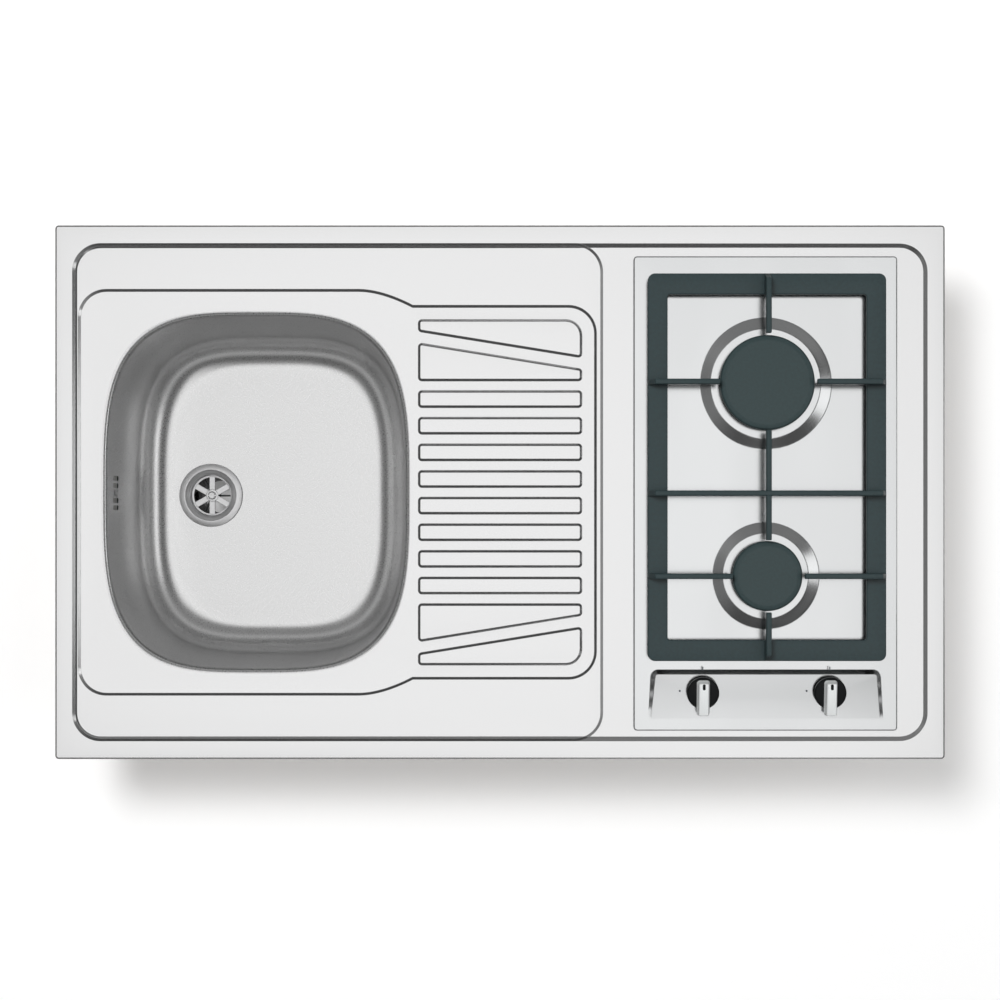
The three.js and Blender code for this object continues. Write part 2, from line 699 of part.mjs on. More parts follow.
// The strainer: a dished flange, a short cup, and a grid of spokes round a hub.
function strainer() {
  const inner = wasteCupRadius - 1.4;
  const ledge = inner - 2.5;
  const hubBore = wasteScrewRadius + gap;
  const dish = turned([[wasteCupRadius, flangeZ], [wasteFlangeRadius, flangeZ],
    [wasteFlangeRadius, flangeZ + 0.7], [wasteCupRadius + 6, flangeTopZ],
    [inner, flangeZ - 1], [inner, gridZ + gridThickness], [ledge, gridZ + gridThickness],
    [ledge, gridZ], [wasteCupRadius, gridZ]], 20);
  const hub = turned([[hubBore, gridZ - 1], [hubRadius, gridZ - 1],
    [hubRadius, gridZ + gridThickness + 0.6], [hubBore, gridZ + gridThickness + 0.6]], 12);
  let body = join(dish, hub);
  for (let i = 0; i < spokeCount; i++) {
    const spoke = block(hubBore + 2, -spokeWidth / 2, gridZ, ledge + 1, spokeWidth / 2,
      gridZ + gridThickness);
    body = body.add(solid(spoke.rotateZ(Math.PI / 2 + (i * 2 * Math.PI) / spokeCount)));
  }
  return body.translate([wasteX, 0, 0]);
}
add("waste_strainer", strainer(), materials.brightSteel);

// A slotted screw on the Z axis: its head stands on the plane at z and its shank runs down.
function slottedScrew(radius, length, headRadius, headHeight, z = 0) {
  const head = turned([[0, z - length], [radius, z - length], [radius, z],
    [headRadius, z], [headRadius, z + headHeight * 0.6], [headRadius * 0.7, z + headHeight],
    [0, z + headHeight]], 8);
  const slotWidth = headRadius * 0.28;
  const slotFloor = z + headHeight * 0.45;
  const slot = block(-headRadius - 1, -slotWidth / 2, slotFloor, headRadius + 1, slotWidth / 2,
    z + headHeight + 1);
  return cut(solid(head), slot);
}
const wasteScrewSeat = gridZ + gridThickness + 0.6 + gap;
const wasteScrewLength = 26;
const wasteScrew = slottedScrew(wasteScrewRadius, wasteScrewLength, 5.2, 2.6, wasteScrewSeat);
add("waste_screw", wasteScrew.translate([wasteX, 0, 0]), materials.brightSteel);

// The plastic body below the floor: a cup that narrows to the threaded outlet, a boss on three
// webs for the screw, and a side branch that takes the overflow's pipe.
const branchZ = bodyTop - 32;
const branchReach = 46;
const cupOuter = wasteCupRadius + 5;
const cupInner = wasteCupRadius + 1.5;
function wasteBody() {
  const outletBore = outletRadius - outletWall;
  const coneTop = branchZ + 12;
  const coneEnd = branchZ - 14;
  const wall = turned([[cupInner, bodyTop], [wasteFlangeRadius + 2, bodyTop],
    [wasteFlangeRadius + 2, bodyTop - 3], [cupOuter, bodyTop - 3], [cupOuter, coneTop - 4],
    [outletRadius + 3, coneEnd], [outletRadius, coneEnd - 2], [outletRadius, bodyBottom],
    [outletBore, bodyBottom], [outletBore, coneEnd], [cupInner, coneTop]], 20);
  const bossTop = gridZ - 1 - gap - 0.5;
  const bossBottom = wasteScrewSeat - wasteScrewLength - 2;
  const bossBore = wasteScrewRadius + gap;
  const boss = turned([[bossBore, bossBottom], [bossBore + 3, bossBottom], [bossBore + 3, bossTop],
    [bossBore, bossTop]], 10);
  const branch = (radius, from, to) =>
    turned([[0, from], [radius, from], [radius, to], [0, to]], 12)
      .rotateY(-Math.PI / 2)
      .translate(0, 0, branchZ);
  const cone = turned([[0, coneEnd], [outletBore, coneEnd], [cupInner, coneTop], [0, coneTop]], 20);
  let body = cut(join(wall, branch(spigotRadius, outletRadius, branchReach)), cone);
  body = body.add(solid(boss));
  const webCount = 3;
  const webHeight = 6;
  for (let i = 0; i < webCount; i++) {
    const web = block(bossBore + 1, -1, bossTop - webHeight - 4, cupInner + 1, 1, bossTop - 4);
    body = body.add(solid(web.rotateZ((i * 2 * Math.PI) / webCount)));
  }
  const bore = branch(overflowBore, outletRadius - 6, branchReach + 1);
  return cut(body, bore).translate([wasteX, 0, 0]);
}
add("waste_body", wasteBody(), materials.drainPlastic);

// ---------------------------------------------------------------- the overflow
// A group whose X axis looks out of the left wall into the bowl, because the wall leans.
const straightWall = bowlDepth - floorFall - floorFillet - bowlRoll;
const wallLean = Math.atan(bowlDraft / straightWall);
const overflow = new THREE.Group();
overflow.position.set(overflowX, 0, overflowZ);
overflow.rotation.y = -wallLean;
kitchenetteTop.add(overflow);

const housingHalfY = 2 * slotPitch + slotLength / 2 + 5;
const housingHalfZ = slotHeight / 2 + 6;
const wallBack = -(sheet + gap);
const housingMouth = wallBack - gasketThickness - gap;
const spigotX = housingMouth - spigotRadius - gap;
const spigotLength = 14;
const overflowBoss = 4;
const overflowSeat = 0.6; // the screw's flat head stands off the curving wall by this much

// A plate with rounded corners across the X axis, from its lower to its higher X.
function plateAcross(halfY, halfZ, radius, low, high) {
  const outline = outlineOf(rectAround(0, 0, halfZ, halfY, radius), 1);
  return over(outline, [low, 0], [high, 0]).rotateY(Math.PI / 2);
}

function overflowGasket() {
  const high = wallBack;
  const low = wallBack - gasketThickness;
  const ring = solid(plateAcross(housingHalfY, housingHalfZ, 5, low, high));
  const rim = 3;
  return cut(ring, plateAcross(housingHalfY - rim, housingHalfZ - rim, 3, low - 1, high + 1));
}
add("overflow_gasket", overflowGasket(), materials.rubber, overflow);

function overflowElbow() {
  const back = housingMouth - overflowHousing;
  const rod = (radius, from, to, sides = 12) =>
    turned([[0, from], [radius, from], [radius, to], [0, to]], sides);
  const spigotEnd = -housingHalfZ - spigotLength;
  const rim = overflowWall + 0.5;
  let body = join(
    plateAcross(housingHalfY, housingHalfZ, 5, back, housingMouth),
    rod(spigotRadius, spigotEnd, 0).translate(spigotX, 0, 0),
  );
  const hollow = plateAcross(housingHalfY - rim, housingHalfZ - rim, 3,
    back + overflowWall, housingMouth + 1);
  body = cut(body, hollow, rod(overflowBore, spigotEnd - 1, 1).translate(spigotX, 0, 0));
  body = body.add(solid(rod(overflowBoss, back, housingMouth - 3, 10).rotateY(Math.PI / 2)));
  const bore = rod(overflowScrewHole - 0.2, back - 1, housingMouth, 10);
  return cut(body, bore.rotateY(Math.PI / 2));
}
add("overflow_elbow", overflowElbow(), materials.plastic, overflow);

const overflowScrewLength = -housingMouth + overflowHousing - 1;
const overflowScrew = slottedScrew(2, overflowScrewLength, 4.4, 2);
const overflowScrewMesh = add("overflow_screw", overflowScrew, materials.brightSteel, overflow);
overflowScrewMesh.rotation.y = Math.PI / 2;
overflowScrewMesh.position.x = gap + overflowSeat;

function overflowPipe() {
  const down = V3(Math.sin(wallLean), 0, -Math.cos(wallLean));
  const start = V3(spigotX, 0, -housingHalfZ - spigotLength - gap);
  start.applyEuler(overflow.rotation).add(overflow.position);
  const fall = (start.z - branchZ) / Math.cos(wallLean);
  const corner = start.clone().addScaledVector(down, fall);
  const end = V3(wasteX - branchReach - gap, 0, branchZ);
  const bend = 22;
  return pipe(bentPath([start, corner, end], bend), spigotRadius, overflowBore);
}
add("overflow_pipe", overflowPipe(), materials.plastic);

// ---------------------------------------------------------------- the battens
const cornerRoom = sheetCorner * 0.3; // the battens' square corners clear the skirt's round ones
const frameHalfX = halfLength - sheet - gap - cornerRoom;
const frameHalfY = halfDepth - sheet - gap - cornerRoom;
const outerBattenTop = sinkFieldZ - sheet - gap;
const insideY = frameHalfY - battenWidth;
const clampToe = trayHalfX + gap + clampThickness + clampReach; // from the hob's middle
function batten(name, x0, y0, x1, y1, top) {
  add(name, block(x0, y0, 0, x1, y1, top), materials.chipboard);
}
batten("batten_back", -frameHalfX, insideY, frameHalfX, frameHalfY, outerBattenTop);
batten("batten_front", -frameHalfX, -frameHalfY, frameHalfX, -insideY, outerBattenTop);
const between = insideY - gap;
const underBowlField = bowlFieldZ - sheet - gap;
const underHobField = hobFieldZ - sheet - gap;
const bowlLeft = bowlX - bowlHalfX;
batten("batten_left", -frameHalfX, -between, bowlLeft - battenFromBowl, between, underBowlField);
batten("batten_right", frameHalfX - battenWidth, -between, frameHalfX, between, underHobField);
const halfCross = drainerBattenWidth / 2;
batten("batten_drainer", drainerX - halfCross, -between, drainerX + halfCross, between,
  underBowlField);
batten("batten_hob", sinkFieldRight + battenPlay, -between, hobX - clampToe - battenToClamps,
  between, underHobField);

// ---------------------------------------------------------------- the hob's plate, tray and seal
const hobOutlineAt = (halfX, halfY, radius = hobCorner) =>
  outlineOf(rectAround(hobX, hobY, halfX, halfY, radius), 1);
const burners = [
  { end: "rear", y: rearBurnerY, cap: rearCapRadius, ports: rearPortCount, pipeSide: -1 },
  { end: "front", y: frontBurnerY, cap: frontCapRadius, ports: frontPortCount, pipeSide: 1 },
];
const throatOf = (burner) => burner.cap - throatInset;
const knobs = [
  { side: "left", x: hobX - knobSpacing / 2, burner: burners[0] },
  { side: "right", x: hobX + knobSpacing / 2, burner: burners[1] },
];
const atKnob = (knob) => V3(knob.x, knobY, consoleZ(knobY));
const spindleHole = spindleRadius + 1;

// One face of the hob plate as the solid below it, as with the sheet.
function plateBlock(drop) {
  const back = drop * stepBack;
  const top = plateZ - drop;
  const bottom = drop ? plateEdgeZ - 1 : plateEdgeZ;
  const edge = 1; // chamfer of the folded edge
  const outline = hobOutlineAt(hobLength / 2 - drop, hobDepth / 2 - drop);
  let body = solid(over(outline, [bottom, 0], [top - edge, 0], [top, -edge]));
  for (const burner of burners) {
    const land = burner.cap + bossLand - back;
    const boss = turned([[0, top - 1], [land + bossRun, top - 1], [land + bossRun, top],
      [land, top + bossRise], [0, top + bossRise]], 24);
    body = body.add(solid(boss.translate(hobX, burner.y, 0)));
  }
  const half = consoleHalfLength - back;
  const wedge = outlineOf(
    roundedRect(hobX - half, consoleFrontY, hobX + half, consoleRearY - back, 5), 1);
  const lean = Math.tan(consoleTilt);
  const crest = grow(wedge, -consoleSlope);
  const slope = crest.map((p) => V3(p.x, p.y, top + 0.2 + (p.y - consoleFrontY) * lean));
  return body.add(solid(loft([raise(wedge, top - 1), raise(wedge, top), slope])));
}

function hobPlate() {
  let body = plateBlock(0).subtract(plateBlock(hobSheet));
  const past = 6;
  for (const burner of burners) {
    const hole = turned([[0, plateZ - past], [throatOf(burner), plateZ - past],
      [throatOf(burner), bossZ + past], [0, bossZ + past]], 24);
    body = cut(body, hole.translate(hobX, burner.y, 0));
  }
  for (const knob of knobs) {
    const hole = turned([[0, -past], [spindleHole, -past], [spindleHole, past], [0, past]], 12);
    hole.rotateX(consoleTilt).translate(...atKnob(knob).toArray());
    body = cut(body, hole);
  }
  return body;
}
add("hob_plate", hobPlate(), materials.steel);

// The foam strip between the plate's edge and the sheet.
function hobSeal() {
  const low = hobFieldZ + gap;
  const high = plateEdgeZ - gap;
  const halfX = hobLength / 2 - 0.5;
  const halfY = hobDepth / 2 - 0.5;
  const outer = over(hobOutlineAt(halfX, halfY), [low, 0], [high, 0]);
  const innerOutline = hobOutlineAt(halfX - sealWidth, halfY - sealWidth, 2);
  return cut(solid(outer), over(innerOutline, [low - 1, 0], [high + 1, 0]));
}
add("hob_seal", hobSeal(), materials.rubber);

// The tray below the plate, open at its top, with holes for the clamp screws and the gas rail.
const railX = hobX + trayHalfX - 16;
const inletY = hobY + trayHalfY - inletFromBack;
const trayTop = plateZ - hobSheet - gap;
const clampScrewZ = hobFieldZ - sheet - gap - clampHeight * 0.7;
const clamps = [
  { name: "hob_clamp_1", side: -1, y: clampY },
  { name: "hob_clamp_2", side: 1, y: clampY },
  { name: "hob_clamp_3", side: 1, y: -clampY },
  { name: "hob_clamp_4", side: -1, y: -clampY },
];
const railZ = consoleZ(knobY) - (tapLength + railRadius + gap + 1.4);
function hobTray() {
  const outer = over(hobOutlineAt(trayHalfX, trayHalfY), [trayZ, 0], [trayTop, 0]);
  const innerOutline = hobOutlineAt(trayHalfX - traySheet, trayHalfY - traySheet, 3);
  const inner = over(innerOutline, [trayZ + traySheet, 0], [trayTop + 1, 0]);
  const drill = (radius) => turned([[0, -5], [radius, -5], [radius, 5], [0, 5]], 10);
  const holes = clamps.map(({ side, y }) =>
    drill(clampScrewRadius + gap)
      .rotateY(Math.PI / 2)
      .translate(hobX + side * trayHalfX, hobY + y, clampScrewZ));
  const railHole = drill(railRadius + 2 * gap).translate(railX, inletY, trayZ);
  return cut(solid(outer), inner, ...holes, railHole);
}
add("hob_tray", hobTray(), materials.galvanised);

// Four angle clamps, screwed to the tray, whose toes pull up against the sheet's underside.
function clamp({ side }) {
  const top = hobFieldZ - sheet - gap;
  const inside = trayHalfX + gap;
  const lower = clampThickness;
  const profile = new THREE.Shape();
  profile.moveTo(inside, top - clampHeight);
  profile.lineTo(inside + lower, top - clampHeight);
  profile.lineTo(inside + lower, top - lower * 2.5);
  profile.lineTo(inside + lower * 2.5, top - lower);
  profile.lineTo(inside + lower + clampReach, top - lower);
  profile.lineTo(inside + lower + clampReach, top);
  profile.lineTo(inside, top);
  profile.closePath();
  const leg = new THREE.ExtrudeGeometry(profile, { depth: clampWidth, bevelEnabled: false });
  leg.rotateX(Math.PI / 2).translate(0, clampWidth / 2, 0);
  const radius = clampScrewRadius + gap;
  const hole = turned([[0, 0], [radius, 0], [radius, inside + 10], [0, inside + 10]], 10);
  const body = cut(solid(leg), hole.rotateY(Math.PI / 2).translate(0, 0, clampScrewZ));
  return side < 0 ? body.rotate([0, 0, 180]) : body;
}
clamps.forEach((place, i) => {
  const bracket = clamp(place).translate([hobX, hobY + place.y, 0]);
  add(place.name, bracket, materials.galvanised);
  const seat = trayHalfX + gap + clampThickness + gap;
  const screw = slottedScrew(clampScrewRadius, clampScrewLength, screwHeadRadius, screwHeadHeight);
  const mesh = add("clamp_screw_" + (i + 1), screw, materials.galvanised);
  mesh.rotation.y = (place.side * Math.PI) / 2;
  mesh.position.set(hobX + place.side * seat, hobY + place.y, clampScrewZ);
});

// ---------------------------------------------------------------- the burners
const crownBase = bossZ + gap;
const crownFloor = 2.6;
const crownTop = crownBase + crownHeight;
const cupTop = bossZ - hobSheet - gap;
const cupFloor = cupTop - cupDepth;

function burnerCup(burner) {
  const throat = throatOf(burner);
  const flange = throat + 8;
  return turned([[0, cupFloor], [throat - 4, cupFloor], [throat + cupWall, cupFloor + 5],
    [throat + cupWall, cupTop - 2], [flange, cupTop - 2], [flange, cupTop], [throat, cupTop],
    [throat, cupFloor + 6], [throat - 5, cupFloor + cupWall], [0, cupFloor + cupWall]], 16);
}

// The nozzle stands on the cup's floor: a hexagon, a neck and a cone with the jet in it.
function injector() {
  const foot = cupFloor + cupWall + gap;
  const flats = new THREE.CylinderGeometry(injectorRadius, injectorRadius, 5, 6);
  flats.rotateX(Math.PI / 2).translate(0, 0, foot + 2.5);
  const neck = injectorRadius * 0.6;
  const top = foot + injectorLength;
  const cone = turned([[0, foot + 4], [neck, foot + 4], [neck, top - 2], [1.5, top], [0, top]], 10);
  const jet = turned([[0, top - 3], [0.6, top - 3], [0.6, top + 1], [0, top + 1]], 8);
  return cut(join(flats, cone), jet);
}

// The crown: a mixing tube in the middle, a floor over the hob plate, a skirt that drops into the
// cup and an outer wall with a flame port between each pair of teeth.
function crown(burner) {
  const rim = burner.cap - crownInset;
  const skirt = throatOf(burner) - 1.5;
  const tube = venturiRadius + 3;
  const floorTop = crownBase + crownFloor;
  const inside = rim - crownWall;
  const low = crownBase - skirtDepth;
  const profile = [[venturiRadius, low], [tube, low], [tube, crownBase], [skirt - 2.5, crownBase],
    [skirt - 2.5, low], [skirt, low], [skirt, crownBase], [rim, crownBase], [rim, crownTop],
    [inside, crownTop], [inside - 2, floorTop], [venturiRadius, floorTop]];
  let body = solid(turned(profile, burner.ports));
  for (let i = 0; i < burner.ports; i++) {
    const port = block(inside - 4, -portWidth / 2, crownTop - portDepth, rim + 1, portWidth / 2,
      crownTop + 1);
    const angle = ((i + 0.5) / burner.ports) * 2 * Math.PI;
    body = body.subtract(solid(port.rotateZ(angle)));
  }
  return body;
}

// The cap: a flat enamelled lid with a chamfered edge, and a ring below that centres it.
function cap(burner) {
  const low = crownTop + gap;
  const high = low + capThickness;
  const ring = burner.cap - crownInset - crownWall - 1.5;
  const step = low + 2.5;
  return turned([[0, step], [ring - 3, step], [ring - 3, low - 3], [ring, low - 3], [ring, low],
    [burner.cap, low], [burner.cap, high - capEdge], [burner.cap - capEdge, high],
    [0, high]], 24);
}

for (const burner of burners) {
  const at = (geometry) => geometry.translate(hobX, burner.y, 0);
  add("burner_cup_" + burner.end, at(burnerCup(burner)), materials.aluminium);
  const nozzle = injector().translate([hobX, burner.y, 0]);
  add("injector_" + burner.end, nozzle, materials.brass);
  const ring = crown(burner).translate([hobX, burner.y, 0]);
  add("burner_crown_" + burner.end, ring, materials.aluminium);
  add("burner_cap_" + burner.end, at(cap(burner)), materials.enamel);
}

// ---------------------------------------------------------------- the gas taps and their knobs
// Each tap is built in a group on the console, whose Z axis is the tap's own axis.
const collarTop = -14;
const springTop = collarTop - collarThickness - gap;
const plugTop = springTop - springLength - gap;
const tapTop = -hobSheet - gap;
const tapBottom = -tapLength;
const boreBottom = plugTop - plugLength - gap;
const tangBottom = plugTop - plugLength + pushTravel + 2;
const knobBoreTop = knobLift + knobThickness + 6;
const outletZ = plugTop - plugLength / 2;

class Helix extends THREE.Curve {
  getPoint(t, target = V3()) {
    const angle = t * springTurns * 2 * Math.PI;
    const rise = (springLength - springWire) * t;
    const z = plugTop + gap + springWire / 2 + rise;
    return target.set(springRadius * Math.cos(angle), springRadius * Math.sin(angle), z);
  }
}

// The least clearance between two neighbouring turns, measured on points along the wire.
function leastSpringGap() {
  const perTurn = 24;
  const points = new Helix().getPoints(springTurns * perTurn);
  let least = Infinity;
  points.forEach((a, i) => {
    for (let j = i + Math.round(perTurn * 0.75); j < points.length; j++)
      least = Math.min(least, a.distanceTo(points[j]) - springWire);
  });
  return least;
}
console.log("least gap between the turns of a tap's spring:", leastSpringGap().toFixed(2), "mm");

// Down the bore: a hole for the spindle, and below it the room for spring and plug.
function tapBody() {
  const neck = tapRadius - 3;
  const outside = turned([[0, tapBottom], [tapRadius, tapBottom], [tapRadius, tapTop - 5],
    [neck, tapTop - 5], [neck, tapTop], [0, tapTop]], 16);
  const boss = turned([[0, tapBore], [outletBossRadius, tapBore],
    [outletBossRadius, tapRadius + outletBossLength], [0, tapRadius + outletBossLength]], 10);
  boss.rotateX(-Math.PI / 2).translate(0, 0, outletZ);
  const spindleBore = spindleRadius + gap;
  const bore = turned([[0, boreBottom], [tapBore, boreBottom], [tapBore, collarTop + 2],
    [spindleBore, collarTop + 2], [spindleBore, tapTop + 1], [0, tapTop + 1]], 16);
  const portRadius = 2.2;
  const port = turned([[0, tapBore - 2], [portRadius, tapBore - 2],
    [portRadius, tapRadius + outletBossLength + 1], [0, tapRadius + outletBossLength + 1]], 8);
  port.rotateX(-Math.PI / 2).translate(0, 0, outletZ);
  const inlet = turned([[0, tapBottom - 1], [portRadius, tapBottom - 1],
    [portRadius, boreBottom + 1], [0, boreBottom + 1]], 8);
  return cut(join(outside, boss), bore, port, inlet);
}

// The plug turns in the bore. Its slot takes the spindle's flat tang, and a groove part of the
// way round it meters the gas.
function tapPlug() {
  const radius = tapBore - gap;
  const low = plugTop - plugLength;
  const body = turned([[0, low], [radius, low], [radius, plugTop], [0, plugTop]], 16);
  const slotHalf = tangRadius + gap;
  const slot = block(-slotHalf, -1.2 - gap, tangBottom - pushTravel - gap, slotHalf, 1.2 + gap,
    plugTop + 1);
  const grooves = [0.5, 0.9, 1.3, 1.7, 2.1].map((angle) =>
    block(radius - 1, -1.2, outletZ - 1, radius + 1, 1.2, outletZ + 1).rotateZ(angle));
  return cut(solid(body), slot, ...grooves);
}

// The spindle: a shaft with a flat for the knob, a collar for the spring, and a flat tang.
function tapSpindle() {
  const shaftTop = knobBoreTop - gap;
  const low = collarTop - collarThickness;
  const shaft = turned([[0, low], [collarRadius, low], [collarRadius, collarTop],
    [spindleRadius, collarTop], [spindleRadius, shaftTop - 1], [spindleRadius - 1, shaftTop],
    [0, shaftTop]], 14);
  const flat = block(-spindleRadius, spindleRadius - 1.2, knobLift, spindleRadius,
    spindleRadius + 1, shaftTop + 1);
  const tang = block(-tangRadius, -1.2, tangBottom, tangRadius, 1.2, low + 1);
  return cut(join(shaft, tang), flat);
}

function tapSpring() {
  const perTurn = 8;
  return pipe(new Helix().getPoints(springTurns * perTurn), springWire / 2, 0, 5);
}

// The black disc of the knob, dished a little and bored for the spindle's flatted end.
function knobDisc() {
  const low = knobLift;
  const high = knobLift + knobThickness;
  const bore = spindleRadius + gap;
  const disc = turned([[bore, low], [knobRadius, low], [knobRadius, high - 1.5],
    [knobRadius - 1.5, high], [bore, high]], 22);
  const key = block(-bore, spindleRadius - 1.2 + gap, low, bore, bore + 1, high);
  return join(disc, key);
}

// The bar that the fingers grip: longer to the front than to the back, narrower at its top.
function knobGrip() {
  const low = knobLift + knobThickness + gap;
  const high = low + gripHeight;
  const half = gripWidth / 2;
  const outline = outlineOf(roundedRect(-half, -gripFront, half, gripRear, 2.5), 1);
  const bar = solid(over(outline, [low, 0], [high - 2, -gripFlare * 0.7], [high, -gripFlare - 0.8]));
  const bore = spindleRadius + gap;
  return cut(bar, turned([[0, low - 1], [bore, low - 1], [bore, knobBoreTop], [0, knobBoreTop]], 14));
}

const knobSealProfile = [[spindleRadius + gap, gap], [spindleHole + 5, gap],
  [spindleHole + 4, gap + 1.2], [spindleRadius + gap, gap + 1.2]];

for (const knob of knobs) {
  const tap = new THREE.Group();
  tap.position.copy(atKnob(knob));
  tap.rotation.x = consoleTilt;
  kitchenetteTop.add(tap);
  const named = (piece) => piece + "_" + knob.side;
  add(named("tap_body"), tapBody(), materials.brass, tap);
  add(named("tap_plug"), tapPlug(), materials.brass, tap);
  add(named("tap_spring"), tapSpring(), materials.galvanised, tap);
  add(named("tap_spindle"), tapSpindle(), materials.galvanised, tap);
  add(named("knob_seal"), turned(knobSealProfile, 16), materials.rubber, tap);
  add(named("knob"), knobDisc(), materials.knobBlack, tap);
  add(named("knob_grip"), knobGrip(), materials.knobSilver, tap);
}

// ---------------------------------------------------------------- the gas pipes
// From each tap's outlet straight back, and then across to the cup of its burner.
function gasPipe(knob) {
  const { burner } = knob;
  const mouth = V3(0, tapRadius + outletBossLength + gap, outletZ);
  const start = mouth.applyAxisAngle(V3(1, 0, 0), consoleTilt).add(atKnob(knob));
  const out = V3(0, Math.cos(consoleTilt), Math.sin(consoleTilt));
  const level = cupFloor + 12;
  const reach = throatOf(burner) + cupWall + gap;
  const end = V3(hobX + burner.pipeSide * reach, burner.y, level);
  const first = start.clone().addScaledVector(out, 16);
  const corner = V3(start.x, burner.y, level);
  return pipe(bentPath([start, first, corner, end], 10), gasPipeRadius);
}
for (const knob of knobs) add("gas_pipe_" + knob.burner.end, gasPipe(knob), materials.aluminium);

// The rail that feeds both taps runs under them and along the tray's right wall, and turns down
// through the tray's floor near the back.
const railFrontY = atKnob(knobs[0]).y + tapLength * Math.sin(consoleTilt);
function gasRail() {
  const path = bentPath([
    V3(knobs[0].x - tapRadius, railFrontY, railZ),
    V3(railX, railFrontY, railZ),
    V3(railX, inletY, railZ),
    V3(railX, inletY, trayZ - railTail),
  ], railBend);
  return pipe(path, railRadius, railRadius - railWall);
}
add("gas_rail", gasRail(), materials.galvanised);

// The inlet below the tray: a nut for the spanner and a threaded end.
function gasInlet() {
  const top = trayZ - railTail - gap;
  const nutBottom = top - inletNutHeight;
  const bottom = nutBottom - inletThread;
  const bore = railRadius - railWall;
  const nut = new THREE.CylinderGeometry(inletRadius + 3, inletRadius + 3, inletNutHeight, 6);
  nut.rotateX(Math.PI / 2).translate(0, 0, (top + nutBottom) / 2);
  const end = turned([[0, bottom], [inletRadius, bottom], [inletRadius, top - 1], [0, top - 1]]);
  const hole = turned([[0, bottom - 1], [bore, bottom - 1], [bore, top + 1], [0, top + 1]], 12);
  return cut(join(nut, end), hole).translate([railX, inletY, 0]);
}
add("gas_inlet", gasInlet(), materials.brass);

// ---------------------------------------------------------------- the pan support
const bandZ = plateZ + footHeight + gap;
const bandTop = bandZ + bandThickness;
const barZ = plateZ + barTop;

// A bar in the XZ plane from x0 to x1 at y; an end on the frame stands on it and slopes off.
function bar(x0, x1, onFrame0, onFrame1) {
  const shape = new THREE.Shape();
  const low = barZ - barDepth;
  const foot = bandTop - 1;
  const tip = 2;
  if (onFrame0) {
    shape.moveTo(x0, foot);
    shape.lineTo(x0 + bandX, foot);
    shape.lineTo(x0 + bandX + barSlope, low);
  } else {
    shape.moveTo(x0, low + tip);
    shape.lineTo(x0 + tip, low);
  }
  if (onFrame1) {
    shape.lineTo(x1 - bandX - barSlope, low);
    shape.lineTo(x1 - bandX, foot);
    shape.lineTo(x1, foot);
    shape.lineTo(x1, bandTop + 3);
    shape.lineTo(x1 - barSlope, barZ);
  } else {
    shape.lineTo(x1 - tip, low);
    shape.lineTo(x1, low + tip);
    shape.lineTo(x1, barZ);
  }
  if (onFrame0) {
    shape.lineTo(x0 + barSlope, barZ);
    shape.lineTo(x0, bandTop + 3);
  } else {
    shape.lineTo(x0, barZ);
  }
  shape.closePath();
  const plate = new THREE.ExtrudeGeometry(shape, { depth: barWidth, bevelEnabled: false });
  return plate.translate(0, 0, -barWidth / 2).rotateX(Math.PI / 2);
}

function panSupport() {
  const outer = roundedRect(supportLeft, supportFrontY, supportRight, supportRearY, bandRadius);
  const inner = roundedRect(supportLeft + bandX, supportFrontY + bandY,
    supportRight - bandX, supportRearY - bandY, 2);
  const ring = over(outlineOf(outer, 3), [bandZ, 0], [bandTop - 1, 0], [bandTop, -1]);
  const window = over(outlineOf(inner, 2), [bandZ - 1, 0], [bandTop + 1, 0]);
  const bars = [];
  for (const burner of burners) {
    const reach = burner.cap + fingerGap;
    bars.push(bar(supportLeft, hobX - reach, true, false).translate(0, burner.y, 0));
    bars.push(bar(hobX + reach, supportRight, false, true).translate(0, burner.y, 0));
  }
  bars.push(bar(supportLeft, supportRight, true, true).translate(0, crossBarY, 0));
  const [rear, front] = burners;
  const lengthwise = (y0, y1, on0, on1) =>
    bar(y0, y1, on0, on1).rotateZ(Math.PI / 2).translate(hobX, 0, 0);
  bars.push(lengthwise(supportFrontY, front.y - front.cap - fingerGap, true, false));
  bars.push(lengthwise(front.y + front.cap + fingerGap, rear.y - rear.cap - fingerGap, false, false));
  bars.push(lengthwise(rear.y + rear.cap + fingerGap, supportRearY, false, true));
  return bars.reduce((body, one) => body.add(solid(one)), cut(solid(ring), window));
}
add("pan_support", panSupport(), materials.castIron);

// A rubber foot under each corner of the frame.
const footPlaces = [
  [supportLeft + bandX / 2, supportRearY - bandY / 2],
  [supportRight - bandX / 2, supportRearY - bandY / 2],
  [supportRight - bandX / 2, supportFrontY + bandY / 2],
  [supportLeft + bandX / 2, supportFrontY + bandY / 2],
];
footPlaces.forEach(([x, y], i) => {
  const foot = turned([[0, gap], [footRadius - 1.5, gap], [footRadius, 2], [footRadius, footHeight],
    [0, footHeight]], 10);
  foot.translate(x, y, plateZ);
  add("pan_foot_" + (i + 1), foot, materials.rubber);
});

export default kitchenetteTop;
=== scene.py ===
# %% [markdown]
# # A kitchenette top, dressed in Blender
# The object is a steel top that lies on a kitchen cabinet: a pressed sheet with a bowl and a ribbed
# drainer on its left, and a gas hob let into it on its right. The construction comes from a packed
# CAD model, which is loaded first and never moved. This lesson adds what CAD leaves plain: rounded
# presswork, satin steel, enamel, cast aluminium and the light of a small studio.

